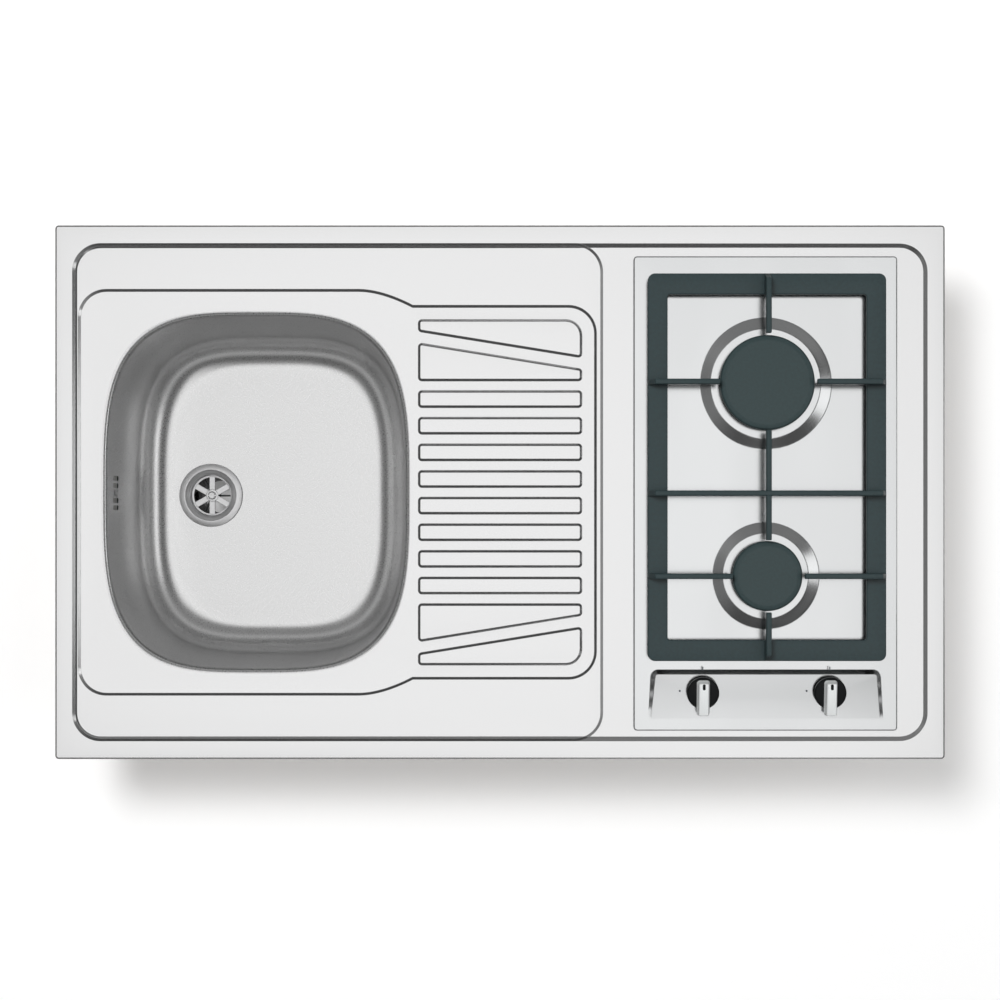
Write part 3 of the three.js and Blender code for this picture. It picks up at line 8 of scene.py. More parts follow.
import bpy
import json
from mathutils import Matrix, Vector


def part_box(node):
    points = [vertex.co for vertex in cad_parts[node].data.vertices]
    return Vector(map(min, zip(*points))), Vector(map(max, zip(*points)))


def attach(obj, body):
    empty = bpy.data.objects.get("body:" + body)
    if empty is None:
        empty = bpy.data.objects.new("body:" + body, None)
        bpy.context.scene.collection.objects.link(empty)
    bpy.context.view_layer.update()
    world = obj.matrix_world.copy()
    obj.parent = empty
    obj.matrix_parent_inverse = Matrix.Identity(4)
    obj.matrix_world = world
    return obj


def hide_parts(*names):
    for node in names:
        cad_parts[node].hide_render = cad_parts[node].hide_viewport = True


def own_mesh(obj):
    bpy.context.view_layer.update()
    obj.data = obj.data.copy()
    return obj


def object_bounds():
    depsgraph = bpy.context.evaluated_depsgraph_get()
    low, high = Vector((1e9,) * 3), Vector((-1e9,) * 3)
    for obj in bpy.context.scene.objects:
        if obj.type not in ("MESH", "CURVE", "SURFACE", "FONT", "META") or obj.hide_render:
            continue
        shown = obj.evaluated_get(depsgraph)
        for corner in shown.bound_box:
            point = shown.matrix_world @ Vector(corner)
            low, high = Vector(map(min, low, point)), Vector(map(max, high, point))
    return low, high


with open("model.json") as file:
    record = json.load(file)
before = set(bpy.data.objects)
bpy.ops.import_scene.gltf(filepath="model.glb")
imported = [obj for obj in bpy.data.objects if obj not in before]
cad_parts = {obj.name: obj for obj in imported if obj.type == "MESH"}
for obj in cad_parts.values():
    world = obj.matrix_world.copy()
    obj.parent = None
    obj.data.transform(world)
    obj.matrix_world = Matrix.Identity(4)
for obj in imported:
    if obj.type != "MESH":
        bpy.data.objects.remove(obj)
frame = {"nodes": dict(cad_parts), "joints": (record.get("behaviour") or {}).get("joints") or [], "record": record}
cad_box = [list(corner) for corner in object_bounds()]

# %% [markdown]
# ## Units and places
# Sheet metal is drawn in millimetres, and Blender works in metres. Every length could be written in
# metres, but a bend of 0.0004 is hard to picture. So lengths below are millimetres, and one factor
# turns them into metres when a mesh is made. Most places are read from the frame, so that a piece
# lands where the CAD has it.

# %% Units, and boxes of the CAD nodes in millimetres
import json
import math

import bmesh
import bpy
import numpy as np
from mathutils import Matrix, Vector
from mathutils.geometry import delaunay_2d_cdt

MM = 0.001
TINY = 1e-12  # keeps a division from failing where a length is nought


def box_of(node):
    """The lowest and the highest corner of a CAD node, in millimetres."""
    low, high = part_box(node)
    return np.array(low) / MM, np.array(high) / MM


def middle_of(node):
    low, high = box_of(node)
    return (low + high) / 2


sheet_low, sheet_high = box_of("top_sheet")
rim_z = sheet_high[2]
print("top:", np.round(sheet_high - sheet_low, 1), "mm")

# %% [markdown]
# ## The camera
# The photograph was taken from straight above. Its picture is 1000 pixels wide, and the rim of the
# top, 1000 mm long, covers 890 of them, which gives the scale. The lens stood to the right of the
# middle and towards the cook: the bowl shows more of its left and its back wall, and its floor and
# its waste appear moved to the right. A camera that looks at the middle at a slant would show that
# too, but the rim would taper. Shifting the lens keeps the rim a true rectangle. The shift is kept
# small, because it stays when the object is looked at from other sides.

# %% Place the camera
camera_height = 2060
camera_x, camera_y = 50, -50
mm_per_pixel = 1.1236
picture_pixels = 1000
centre_row = 492.2  # the row of the picture that the middle of the top lies on
sensor_width = 36
sight = 100  # metres, beyond the far edge of the floor

picture_width = picture_pixels * mm_per_pixel
picture_y = (centre_row - picture_pixels / 2) * mm_per_pixel  # the Y at the picture's centre
camera_data = bpy.data.cameras.new("camera")
camera_data.sensor_width = sensor_width
camera_data.lens = sensor_width * camera_height / picture_width
camera_data.clip_end = sight
camera_data.shift_x = -camera_x / picture_width
camera_data.shift_y = (picture_y - camera_y) / picture_width
camera = bpy.data.objects.new("camera", camera_data)
camera.location = (camera_x * MM, camera_y * MM, (rim_z + camera_height) * MM)
bpy.context.scene.collection.objects.link(camera)
bpy.context.scene.camera = camera
print("lens:", round(camera_data.lens, 1), "mm, shift:",
      round(camera_data.shift_x, 3), round(camera_data.shift_y, 3))

# %% [markdown]
# ## The studio
# Steel has almost no colour of its own: it shows the room. Flat steel that looks up shows the
# ceiling, and each sloping step shows the walls. A room could be built of planes that shine, but a
# world made of nodes has no planes to hide from the camera. So the world has a bright panel
# overhead, just wide enough for every flat place to show it, and is dark round it, which draws the
# dark lines round every pressed field. A second, small panel is what the sloping console shows.
#
# First come short ways to add nodes, because a tree that is written as plain calls is long.

# %% A way to write node trees
def node_adder(tree):
    """Gives a function that adds a node to the tree, with its inputs set or linked."""
    def node(kind, inputs=None, **settings):
        made = tree.nodes.new(kind)
        for name, value in settings.items():
            setattr(made, name, value)
        for name, value in (inputs or {}).items():
            if isinstance(value, bpy.types.NodeSocket):
                tree.links.new(value, made.inputs[name])
            else:
                made.inputs[name].default_value = value
        return made

    return node


def new_nodes(owner):
    """Empties the node tree of a material or a world, and gives its way to add nodes."""
    owner.use_nodes = True
    owner.node_tree.nodes.clear()
    return node_adder(owner.node_tree)


# %% [markdown]
# Much of a room's light and of a finish is a value turned into a grey or a colour. A colour ramp
# does that, and shows at a glance where the greys lie.

# %% Ramps, and the highest of several values
def ramp_colours(ramp, stops):
    """Sets the stops of a colour ramp from pairs of position and grey or colour."""
    while len(ramp.color_ramp.elements) < len(stops):
        ramp.color_ramp.elements.new(0.5)
    for element, (position, colour) in zip(ramp.color_ramp.elements, stops):
        element.position = position
        rgb = colour if isinstance(colour, (tuple, list)) else (colour,) * 3
        element.color = (*rgb[:3], 1)


def soft_band(node, value, stops):
    """A colour ramp over a value that may run from -1 to 1."""
    share = node("ShaderNodeMapRange", {"Value": value, "From Min": -1.0, "From Max": 1.0})
    ramp = node("ShaderNodeValToRGB", {"Fac": share.outputs["Result"]})
    ramp_colours(ramp, [((at + 1) / 2, grey) for at, grey in stops])
    return ramp.outputs["Color"]


def highest_of(node, first, *others):
    """The highest of several values."""
    for value in others:
        first = node("ShaderNodeMath", {0: first, 1: value}, operation="MAXIMUM").outputs["Value"]
    return first


# %% [markdown]
# A panel is a rectangle on a ceiling at a height of one. A direction meets it where its X and Y,
# divided by its Z, lie inside the rectangle.

# %% A panel in the ceiling
# Each panel: its middle and half its size, sideways and to the back.
panels = [((-0.03, 0.04), (0.35, 0.25)),  # every flat place shows this one
          ((0.11, -0.28), (0.12, 0.20))]  # and the sloping console this one
panel_blur, panel_light = 0.06, 1.06
lowest_z = 0.05  # lower directions count as this high

world = bpy.data.worlds.new("studio")
bpy.context.scene.world = world
node = new_nodes(world)


def maths(operation, *values):
    return node("ShaderNodeMath", dict(enumerate(values)), operation=operation).outputs["Value"]


def coloured(operation, *values):
    made = node("ShaderNodeVectorMath", dict(enumerate(values)), operation=operation)
    return made.outputs["Vector"]


def panel(toward, middle, reach):
    """1 where a direction meets the panel, 0 outside, with a soft edge."""
    shares = []
    for axis, centre, half in zip("XY", middle, reach):
        place = maths("DIVIDE", toward[axis], maths("MAXIMUM", toward["Z"], lowest_z))
        off = maths("ABSOLUTE", maths("SUBTRACT", place, centre))
        shares.append(node("ShaderNodeMapRange", {
            "Value": off, "From Min": half - panel_blur / 2, "From Max": half + panel_blur / 2,
            "To Min": 1.0, "To Max": 0.0}, interpolation_type="SMOOTHSTEP").outputs["Result"])
    return maths("MULTIPLY", *shares)


toward = node("ShaderNodeSeparateXYZ",
              {"Vector": node("ShaderNodeTexCoord").outputs["Generated"]}).outputs
lit = maths("MAXIMUM", *[panel(toward, *where) for where in panels])
print("panels:", len(panels))

# %% [markdown]
# With the panels alone, steel turns black when it is seen from the side, because it shows the walls
# then. So a band half way up the walls is lit, with a weak glow on the left and at the back. The
# camera sees white all round, for a white background. Metal shows that white only close to the
# horizon, or the dark lines would vanish.

# %% The walls, the glows and the white background
wall_light = 0.06
# Bands: how light the walls are at a height, which runs from 0 at the horizon to 1 overhead.
walls = [(0.41, 0.0), (0.48, 0.40), (0.62, 0.40), (0.69, 0.0)]
left_glow = [(0.80, 0.0), (0.84, 0.14), (0.86, 0.14), (0.91, 0.0)]
back_glow = [(0.64, 0.0), (0.72, 0.14), (0.88, 0.14), (0.94, 0.0)]
glow_side = [(0.22, 0.0), (0.42, 1.0)]  # how far towards its side a glow starts
near_horizon = [(-0.02, 1.0), (0.03, 0.0)]

light = maths("MAXIMUM", maths("MULTIPLY", lit, panel_light), wall_light)
light = coloured("ADD", light, soft_band(node, toward["Z"], walls))
for way, band in ((maths("MULTIPLY", toward["X"], -1), left_glow), (toward["Y"], back_glow)):
    facing = soft_band(node, way, glow_side)
    glow = coloured("MULTIPLY", facing, soft_band(node, toward["Z"], band))
    light = coloured("ADD", light, glow)
rays = node("ShaderNodeLightPath").outputs
low = soft_band(node, toward["Z"], near_horizon)
mirrored = maths("MULTIPLY", rays["Is Glossy Ray"], low)
white = highest_of(node, rays["Is Camera Ray"], rays["Is Transmission Ray"], mirrored)
light = coloured("MAXIMUM", light, white)
shine = node("ShaderNodeBackground", {"Color": light, "Strength": 1.0})
node("ShaderNodeOutputWorld", {"Surface": shine.outputs["Background"]})
print("nodes in the world:", len(world.node_tree.nodes))

# %% [markdown]
# The world alone throws no clear shadow. Two lamps do, to the right and the front, as in the
# photograph. A lamp would also show in the steel as a bright patch, so these light only what is
# matt. A third, small one does the reverse: it shows in metal only, and brightens the right side of
# the cones below the burners.

# %% The lamps
def area_lamp(name, size, power, place, seen_in_metal=False, aim=(0, 0, 0)):
    """A square soft lamp, in metres. It lights either what is matt or what is metal."""
    data = bpy.data.lights.new(name, "AREA")
    data.size = size
    data.energy = power
    lamp = bpy.data.objects.new(name, data)
    lamp.location = place
    way = Vector(aim) - Vector(place)
    lamp.rotation_euler = way.to_track_quat("-Z", "Y").to_euler()
    lamp.visible_camera = False
    lamp.visible_glossy = seen_in_metal
    lamp.visible_diffuse = not seen_in_metal
    bpy.context.scene.collection.objects.link(lamp)
    print("lamp:", name, power, "W")


area_lamp("key", 1.0, 88, (-0.78, 0.89, 3.4))
area_lamp("fill", 2.5, 26, (2.2, -0.4, 3.0))
area_lamp("card", 0.5, 0.9, (1.27, 0.02, 1.05), seen_in_metal=True, aim=(0.36, 0.02, 0.05))

bpy.context.scene.view_settings.view_transform = "Standard"

# %% [markdown]
# ## Finishes
# Rolled steel, enamel and moulded plastic all vary a little from place to place. Pictures of them
# could be wrapped round the pieces, but nodes need no files and never repeat. Each finish is one
# noise, which moves the colour and the roughness a little and, where the real surface can be felt,
# lifts it. What differs is the size of the grain: about a millimetre on satin steel, and several
# centimetres for the faint clouds in the hob's plate.

# %% A finish from a grain
FINISHES = {}
speck_low, speck_high = 0.3, 0.7  # most of the noise lies between these


def finish(name, colour, roughness, metallic, grain, tint=0.05, uneven=0.08, relief=0.0,
           depth=0.0002, detail=4.0, extra=None):
    """A Principled material whose colour, roughness and relief follow a noise.
    grain is how many specks there are in a metre, the same all ways or along X, Y and Z."""
    material = bpy.data.materials.new(name)
    node = new_nodes(material)
    place = node("ShaderNodeTexCoord").outputs["Object"]
    scale = grain if isinstance(grain, tuple) else (grain,) * 3
    stretched = node("ShaderNodeMapping", {"Vector": place, "Scale": scale})
    speck = node("ShaderNodeTexNoise",
                 {"Vector": stretched.outputs["Vector"], "Scale": 1.0, "Detail": detail})
    shade = node("ShaderNodeValToRGB", {"Fac": speck.outputs["Fac"]})
    shade.color_ramp.interpolation = "EASE"
    dark = [c * (1 - tint) for c in colour]
    pale = [min(1.0, c * (1 + tint)) for c in colour]
    ramp_colours(shade, [(speck_low, dark), (speck_high, pale)])
    rough = node("ShaderNodeMapRange", {
        "Value": speck.outputs["Fac"], "From Min": speck_low, "From Max": speck_high,
        "To Min": roughness * (1 - uneven), "To Max": roughness * (1 + uneven)})
    inputs = {"Base Color": shade.outputs["Color"], "Metallic": metallic,
              "Roughness": rough.outputs["Result"]}
    if relief:
        bump = node("ShaderNodeBump", {"Height": speck.outputs["Fac"], "Strength": relief,
                                       "Distance": depth})
        inputs["Normal"] = bump.outputs["Normal"]
    inputs.update(extra or {})
    surface = node("ShaderNodeBsdfPrincipled", inputs)
    node("ShaderNodeOutputMaterial", {"Surface": surface.outputs["BSDF"]})
    FINISHES[name] = material
    return material


# %% [markdown]
# The pressed sheet is smoother than the bowl, because deep drawing leaves the steel duller. Zinc on
# galvanised steel sets in flakes about a centimetre wide. Each metal gets its own colour, because a
# mirror's tint is what tells steel from aluminium and brass.

# %% The metals
finish("top_steel", (0.81, 0.81, 0.812), 0.18, 1.0, 900, tint=0.02, uneven=0.10)
finish("bowl_steel", (0.86, 0.86, 0.86), 0.29, 1.0, 700, tint=0.02, uneven=0.10)
finish("hob_steel", (0.765, 0.775, 0.78), 0.20, 1.0, (14, 8, 10), tint=0.03, uneven=0.04,
       detail=0.5)
finish("bright_steel", (0.84, 0.84, 0.845), 0.34, 1.0, 600, tint=0.02, uneven=0.15)
finish("galvanised_steel", (0.58, 0.60, 0.61), 0.42, 1.0, 70, tint=0.12, uneven=0.2, detail=1.0)
finish("zinc_screw", (0.62, 0.62, 0.58), 0.35, 1.0, 900)
finish("spring_steel", (0.50, 0.50, 0.51), 0.3, 1.0, 900)
finish("crown_aluminium", (0.74, 0.74, 0.73), 0.34, 1.0, 900, tint=0.05, uneven=0.2)
finish("cast_aluminium", (0.64, 0.65, 0.65), 0.5, 1.0, 500, tint=0.08, relief=0.2)
finish("tap_brass", (0.66, 0.48, 0.22), 0.28, 1.0, 900)
print("metals:", len(FINISHES))

# %% [markdown]
# Enamel has a faint orange peel that can be felt, so it gets a relief. The knobs' black is so dark
# that its gloss has to be held back, or the discs would look grey. Felt, foam and chipboard are
# coarse, and their relief is strong.

# %% Enamel, plastic, rubber and board
finish("pan_enamel", (0.025, 0.042, 0.045), 0.42, 0.0, 260, tint=0.10, uneven=0.15, relief=0.25)
finish("cap_enamel", (0.030, 0.049, 0.051), 0.42, 0.0, 300, tint=0.08, uneven=0.15, relief=0.2)
finish("knob_black", (0.006, 0.0065, 0.007), 0.35, 0.0, 1500, tint=0.1, relief=0.05,
       extra={"Specular IOR Level": 0.2})
finish("knob_silver", (0.84, 0.86, 0.86), 0.35, 0.2, 1800, tint=0.03, uneven=0.1)
finish("waste_plastic", (0.90, 0.90, 0.88), 0.42, 0.0, 900, tint=0.02, relief=0.05)
finish("drain_plastic", (0.011, 0.012, 0.013), 0.4, 0.0, 900, tint=0.1, relief=0.05)
finish("gasket_rubber", (0.02, 0.02, 0.021), 0.7, 0.0, 1200, tint=0.15, relief=0.1)
finish("foam_seal", (0.06, 0.06, 0.062), 0.9, 0.0, 2500, tint=0.3, relief=0.6)
finish("bitumen_felt", (0.03, 0.03, 0.031), 0.85, 0.0, 400, tint=0.3, relief=0.7, depth=0.0005)
finish("chipboard", (0.48, 0.33, 0.17), 0.8, 0.0, 260, tint=0.28, relief=0.4, depth=0.0004)

slot_of = {part["node"]: part["material_slot"] for part in frame["record"]["subparts"]}
for name, cad_object in frame["nodes"].items():
    cad_object.data.materials.clear()
    cad_object.data.materials.append(FINISHES[slot_of[name]])
print("finishes:", len(FINISHES))

# %% [markdown]
# ## The floor
# The top lies on white paper, which carries its shadow. More light would whiten the paper, but it
# would also light the object. So the paper shines a little of its own, and only for rays from the
# camera or from metal and glass, which are the ones that show it.

# %% The floor
paper_glow = 0.18
floor_size = 60.0  # metres
floor_gap = 1  # below the object

floor_material = finish("floor_paper", (0.93, 0.93, 0.93), 0.9, 0.0, 3, tint=0.004)
node = node_adder(floor_material.node_tree)
rays = node("ShaderNodeLightPath").outputs
showing = highest_of(node, rays["Is Camera Ray"], rays["Is Glossy Ray"],
                     rays["Is Transmission Ray"])
surface = floor_material.node_tree.nodes["Principled BSDF"]
surface.inputs["Emission Color"].default_value = (paper_glow, paper_glow, paper_glow, 1)
floor_material.node_tree.links.new(showing, surface.inputs["Emission Strength"])
bpy.ops.mesh.primitive_plane_add(size=floor_size)
floor = bpy.context.object
floor.name = "floor"
floor.location.z = cad_box[0][2] - floor_gap * MM
floor.data.materials.append(floor_material)
print("floor at:", round(floor.location.z, 4), "m")

# %% [markdown]
# ## Outlines
# Presswork is drawn as outlines. Blender's curves could hold them, but here they also have to say
# how far any point lies inside them. So each is a plain list of points: a polygon with its corners
# rounded by true arcs.

# %% Rounded outlines
def arc_corner(before, corner, after, radius, steps):
    """The points of an arc of that radius that rounds the corner."""
    back = (before - corner) / np.linalg.norm(before - corner)
    on = (after - corner) / np.linalg.norm(after - corner)
    half = math.acos(np.clip(back @ on, -1, 1)) / 2
    centre = corner + (back + on) / np.linalg.norm(back + on) * radius / math.sin(half)
    reach = radius / math.tan(half)
    start, end = corner + back * reach - centre, corner + on * reach - centre
    sweep = math.pi - 2 * half
    turns = np.linspace(0, 1, steps + 1)[:, None]
    mix = (np.sin((1 - turns) * sweep) * start + np.sin(turns * sweep) * end) / math.sin(sweep)
    return centre + mix


def rounded(corners, radii, steps=10):
    """A closed outline through the corners, each rounded by its own radius."""
    corners = [np.array(c, float) for c in corners]
    radii = [radii] * len(corners) if np.isscalar(radii) else radii
    count = len(corners)
    arcs = [arc_corner(corners[i - 1], corners[i], corners[(i + 1) % count], radii[i], steps)
            for i in range(count)]
    return np.concatenate(arcs)


# %% [markdown]
# Nearly all outlines here are rectangles with round corners, or circles, so these get short names.

# %% Rectangles and circles
def rectangle(x0, y0, x1, y1, radius, steps=10):
    return rounded([(x0, y0), (x1, y0), (x1, y1), (x0, y1)], radius, steps)


def around(x, y, width, length, radius, steps=10):
    """A rounded rectangle about its middle."""
    return rectangle(x - width / 2, y - length / 2, x + width / 2, y + length / 2, radius, steps)


def circle(x, y, radius, count=72):
    turn = np.arange(count) / count * 2 * math.pi
    return np.column_stack([x + radius * np.cos(turn), y + radius * np.sin(turn)])


sample = around(0, 0, 10, 10, 2)
print("a square with round corners has", len(sample), "points")

# %% [markdown]
# The inner edge of a sloping step is its outer edge moved in. Scaling the outline would be simpler,
# but would move the sides that are far from the middle more than the near ones. How deep a point
# lies inside an outline then gives its height on the slope.

# %% Moving an outline in, and measuring from it
def moved_in(outline, distance):
    """The outline moved inwards by a distance. It runs counter-clockwise."""
    arriving = outline - np.roll(outline, 1, axis=0)
    leaving = np.roll(outline, -1, axis=0) - outline
    arriving /= np.linalg.norm(arriving, axis=1)[:, None]
    leaving /= np.linalg.norm(leaving, axis=1)[:, None]
    inward = np.stack([-arriving[:, 1], arriving[:, 0]], axis=1)
    both = inward + np.stack([-leaving[:, 1], leaving[:, 0]], axis=1)
    both /= np.linalg.norm(both, axis=1)[:, None]
    return outline + both * (distance / (both * inward).sum(axis=1))[:, None]


def depth_inside(outline, points):
    """How far each point lies inside the outline; negative outside."""
    starts, ends = outline, np.roll(outline, -1, axis=0)
    nearest = np.full(len(points), np.inf)
    crossings = np.zeros(len(points), bool)
    for a, b, side in zip(starts, ends, ends - starts):
        along = np.clip(((points - a) @ side) / (side @ side), 0, 1)
        off = points - a - along[:, None] * side
        nearest = np.minimum(nearest, (off ** 2).sum(axis=1))
        spans = (a[1] > points[:, 1]) != (b[1] > points[:, 1])
        if spans.any():
            x = a[0] + (points[:, 1] - a[1]) * side[0] / (side[1] or TINY)
            crossings ^= spans & (points[:, 0] < x)
    return np.where(crossings, 1, -1) * np.sqrt(nearest)


def slope_rings(outline, start, width, steps):
    """The outline moved in by even shares of a slope's width, for triangles to follow."""
    return [moved_in(outline, start + width * share) for share in np.linspace(0, 1, steps)]


print("its middle lies", depth_inside(sample, np.zeros((1, 2)))[0], "mm inside")

# %% [markdown]
# A press tool leaves a slope that is straight, with a small round where it starts and where it
# ends. An S-curve is rounder and has no straight run, and it suits the bowl's floor, which falls
# by less than a millimetre.

# %% Slopes
def eased(share, ease=0.3):
    """An even slope from 0 to 1 whose ends are rounded."""
    t = np.clip(share, 0, 1)
    start, end = t * t / (2 * ease), 1 - ease - (1 - t) ** 2 / (2 * ease)
    return np.where(t < ease, start, np.where(t > 1 - ease, end, t - ease / 2)) / (1 - ease)


def smooth(share):
    """An S-curve from 0 to 1."""
    share = np.clip(share, 0, 1)
    return share * share * (3 - 2 * share)


print("at a tenth of the way: slope", eased(0.1).round(3), "and S-curve", round(smooth(0.1), 3))

# %% [markdown]
# ## Sheet metal
# A pressed sheet is a flat pattern that has been given heights. A fine grid could carry them, but
# it would need a million squares for the narrow steps. Here the pattern is filled with triangles
# between its outlines, by Delaunay's method, so there are many where the metal bends and few where
# it is flat. The heights come from one formula, and so do the normals, which makes the steel
# reflect as a continuous surface.

# %% Filling a pattern and giving it heights
def filled(loops, outer, holes=(), touching=1e-3, sliver=1e-5):
    """Points and triangles between closed loops, inside the outer one and outside the holes."""
    points, edges = [], []
    for loop in loops:
        first = len(points)
        points += [Vector(p) for p in loop]
        edges += [(first + i, first + (i + 1) % len(loop)) for i in range(len(loop))]
    made = delaunay_2d_cdt(points, edges, [], 0, touching)
    flat = np.array([(p.x, p.y) for p in made[0]])
    faces = np.array(made[2])
    centres = flat[faces].mean(axis=1)
    keep = depth_inside(outer, centres) > 0
    for hole in holes:
        keep &= depth_inside(hole, centres) < 0
    faces = faces[keep]
    area = np.cross(flat[faces[:, 1]] - flat[faces[:, 0]], flat[faces[:, 2]] - flat[faces[:, 0]])
    faces[area < 0] = faces[area < 0][:, ::-1]
    return flat, faces[np.abs(area) > sliver]


def surface_from(flat, faces, shape, probe=0.02):
    """A patch: its points in space, its normals from the slope of the shape, and its faces."""
    points = shape(flat)
    across = shape(flat + [probe, 0]) - shape(flat - [probe, 0])
    along = shape(flat + [0, probe]) - shape(flat - [0, probe])
    normals = np.cross(across, along)
    normals /= np.linalg.norm(normals, axis=1)[:, None]
    return points, normals, [tuple(face) for face in faces]


# %% [markdown]
# The bowl and the folded edges are not flat patterns. They are skinned through rings of points that
# follow each other, as a hull is planked.

# %% Skins through rings
def ring_faces(rows, count, wrapped=False):
    """Four-sided faces between rings in a row. Wrapped joins the last to the first."""
    return [(row * count + j, row * count + (j + 1) % count,
             after * count + (j + 1) % count, after * count + j)
            for row, after in zip(range(rows if wrapped else rows - 1), [*range(1, rows), 0])
            for j in range(count)]


def grid_patch(rings):
    """A patch through rings of points; its normals come from neighbouring points."""
    rings = np.array(rings)
    along = np.roll(rings, -1, axis=1) - np.roll(rings, 1, axis=1)
    down = np.gradient(rings, axis=0)
    normals = np.cross(along, down)
    normals /= np.linalg.norm(normals, axis=2)[:, :, None] + TINY
    return rings.reshape(-1, 3), normals.reshape(-1, 3), ring_faces(*rings.shape[:2])


print("faces through 3 rings of 4 points:", len(ring_faces(3, 4)))

# %% [markdown]
# Patches of both kinds are joined and then welded: points that lie on each other become one, and
# share the mean of their normals, so that no seam shows.

# %% Joining and welding patches
def joined(parts):
    """The points and faces of several parts, in one list each."""
    points, faces, first = [], [], 0
    for part_points, part_faces in parts:
        points.append(np.asarray(part_points, float))
        faces += [tuple(first + i for i in face) for face in part_faces]
        first += len(part_points)
    return np.concatenate(points), faces


def welded(patches, grain=0.01):
    """One patch from several, with points that lie on each other made one."""
    points, faces = joined([(patch[0], patch[2]) for patch in patches])
    normals = np.concatenate([patch[1] for patch in patches])
    _, kept, where = np.unique(np.round(points / grain), axis=0, return_index=True,
                               return_inverse=True)
    where = where.reshape(-1)
    summed = np.zeros((len(kept), 3))
    np.add.at(summed, where, normals)
    summed /= np.linalg.norm(summed, axis=1)[:, None] + TINY
    merged = [tuple(dict.fromkeys(int(where[i]) for i in face)) for face in faces]
    return points[kept], summed, [face for face in merged if len(face) > 2]


# %% [markdown]
# Points and faces become a mesh, which rides on a body of the CAD and says which finish it takes.
# Shading is smooth. Edges that bend by more than a certain angle stay sharp, unless the piece
# brings its own normals.

# %% Making meshes
sharp_angle = math.radians(35)


def mesh_piece(name, points, faces, material, body, corner_normals=None):
    """A mesh object in the frame that rides on a body. Points are in millimetres."""
    mesh = bpy.data.meshes.new(name)
    mesh.from_pydata([tuple(p) for p in np.asarray(points) * MM], [], faces)
    mesh.polygons.foreach_set("use_smooth", [True] * len(mesh.polygons))
    if corner_normals is None:
        mesh.set_sharp_from_angle(angle=sharp_angle)
    else:
        mesh.normals_split_custom_set([tuple(n) for n in corner_normals])
    mesh.materials.append(FINISHES[material])
    piece = bpy.data.objects.new(name, mesh)
    bpy.context.scene.collection.objects.link(piece)
    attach(piece, body)
    print(name + ":", len(faces), "faces")
    return piece


# %% [markdown]
# A sheet has a second face and an edge. Blender's Solidify modifier could add them, but it would
# work out its own normals. Here a normal is handed to the mesh for every corner of every face: the
# two faces of the sheet use the formula's, while its cut edges use their own and stay sharp.

# %% Giving a sheet its thickness
def sheet_metal(name, patches, thickness, material, body):
    """Gives a pressed surface its thickness, with a cut edge wherever the surface ends."""
    points, normals, faces = welded(patches)
    count = len(points)
    every = np.concatenate([points, points - normals * thickness])
    directed = {}
    for face in faces:
        for a, b in zip(face, face[1:] + face[:1]):
            directed[(a, b)] = True
    rims = [(b, a, a + count, b + count) for a, b in directed if (b, a) not in directed]
    backs = [tuple(i + count for i in reversed(face)) for face in faces]
    corner_normals = [normals[i] for face in faces for i in face]
    corner_normals += [-normals[i - count] for face in backs for i in face]
    for rim in rims:
        p = every[list(rim)]
        edge = np.cross(p[1] - p[0], p[2] - p[0])
        corner_normals += [edge / (np.linalg.norm(edge) + TINY)] * len(rim)
    return mesh_piece(name, every, faces + backs + rims, material, body, corner_normals)


# %% [markdown]
# ## The pressed sheet
# From the rim the sheet steps down to the hob's field, then to the sink's field, then to the field
# that holds the bowl and the drainer, where ribs rise again. Each step could be modelled as faces
# of its own, but these would have to be joined by hand. As heights over a pattern, the steps are
# simply subtracted one after the other. At its outer edge the sheet drops by a narrow slope before
# it folds down, which is the grey line round the top.

# %% Driving sizes of the sheet
rim_width_x, rim_width_y = 19, 20
field_radius = 32
rim_step, sink_step, bowl_step = 2.0, 1.5, 2.5
rim_slope, sink_slope, bowl_slope, slope_ease = 5.6, 3.3, 3.2, 0.06
sink_field_right, bowl_field_right = 116, 109
bowl_half_depth, drainer_half_depth = 229, 211
shoulder_start, shoulder_bend, shoulder_end = -160, -133, -98
sheet_thickness = 0.8
sheet_corner, edge_slope, edge_drop, edge_ease, edge_radius = 4, 1.5, 0.7, 0.25, 0.4

half_x, half_y = sheet_high[0], sheet_high[1]
inner_x, inner_y = half_x - rim_width_x, half_y - rim_width_y
field_z = rim_z - rim_step - sink_step - bowl_step
edge_outline = rectangle(-half_x, -half_y, half_x, half_y, sheet_corner, 8)
hob_field = rectangle(-inner_x, -inner_y, inner_x, inner_y, field_radius, 14)
sink_field = rectangle(-inner_x, -inner_y, sink_field_right, inner_y, field_radius, 14)
print("the bowl's field lies", round(rim_z - field_z, 2), "mm below the rim")

# %% [markdown]
# The lowest field is deep from front to back beside the bowl, and shallower beside the drainer. The
# real tool joins the two depths by a soft shoulder. It is drawn as a curve with three guiding
# points, which takes no more than the places where it starts, bends and ends.

# %% The lowest field, with its shoulders
def bowl_field_outline():
    """Deep beside the bowl, shallow beside the drainer; the edge bends inwards between the two."""
    left = -inner_x + rim_slope
    deep, shallow = bowl_half_depth, drainer_half_depth
    turns = np.linspace(0, 1, 13)[:, None]
    corners = [np.array(p, float) for p in
               ((shoulder_start, -deep), (shoulder_bend, -deep), (shoulder_end, -shallow))]
    shares = ((1 - turns) ** 2, 2 * turns * (1 - turns), turns ** 2)
    front = sum(share * corner for share, corner in zip(shares, corners))
    back = front[::-1] * [1, -1]
    corner = rectangle(left, -deep, 0, deep, field_radius, 12)
    right = rectangle(0, -shallow, bowl_field_right, shallow, field_radius, 12)
    quarter = len(corner) // 4
    return np.vstack([corner[:quarter], front, right[quarter:3 * quarter], back,
                      corner[3 * quarter:]])


bowl_field = bowl_field_outline()
print("points of the bowl's field:", len(bowl_field))

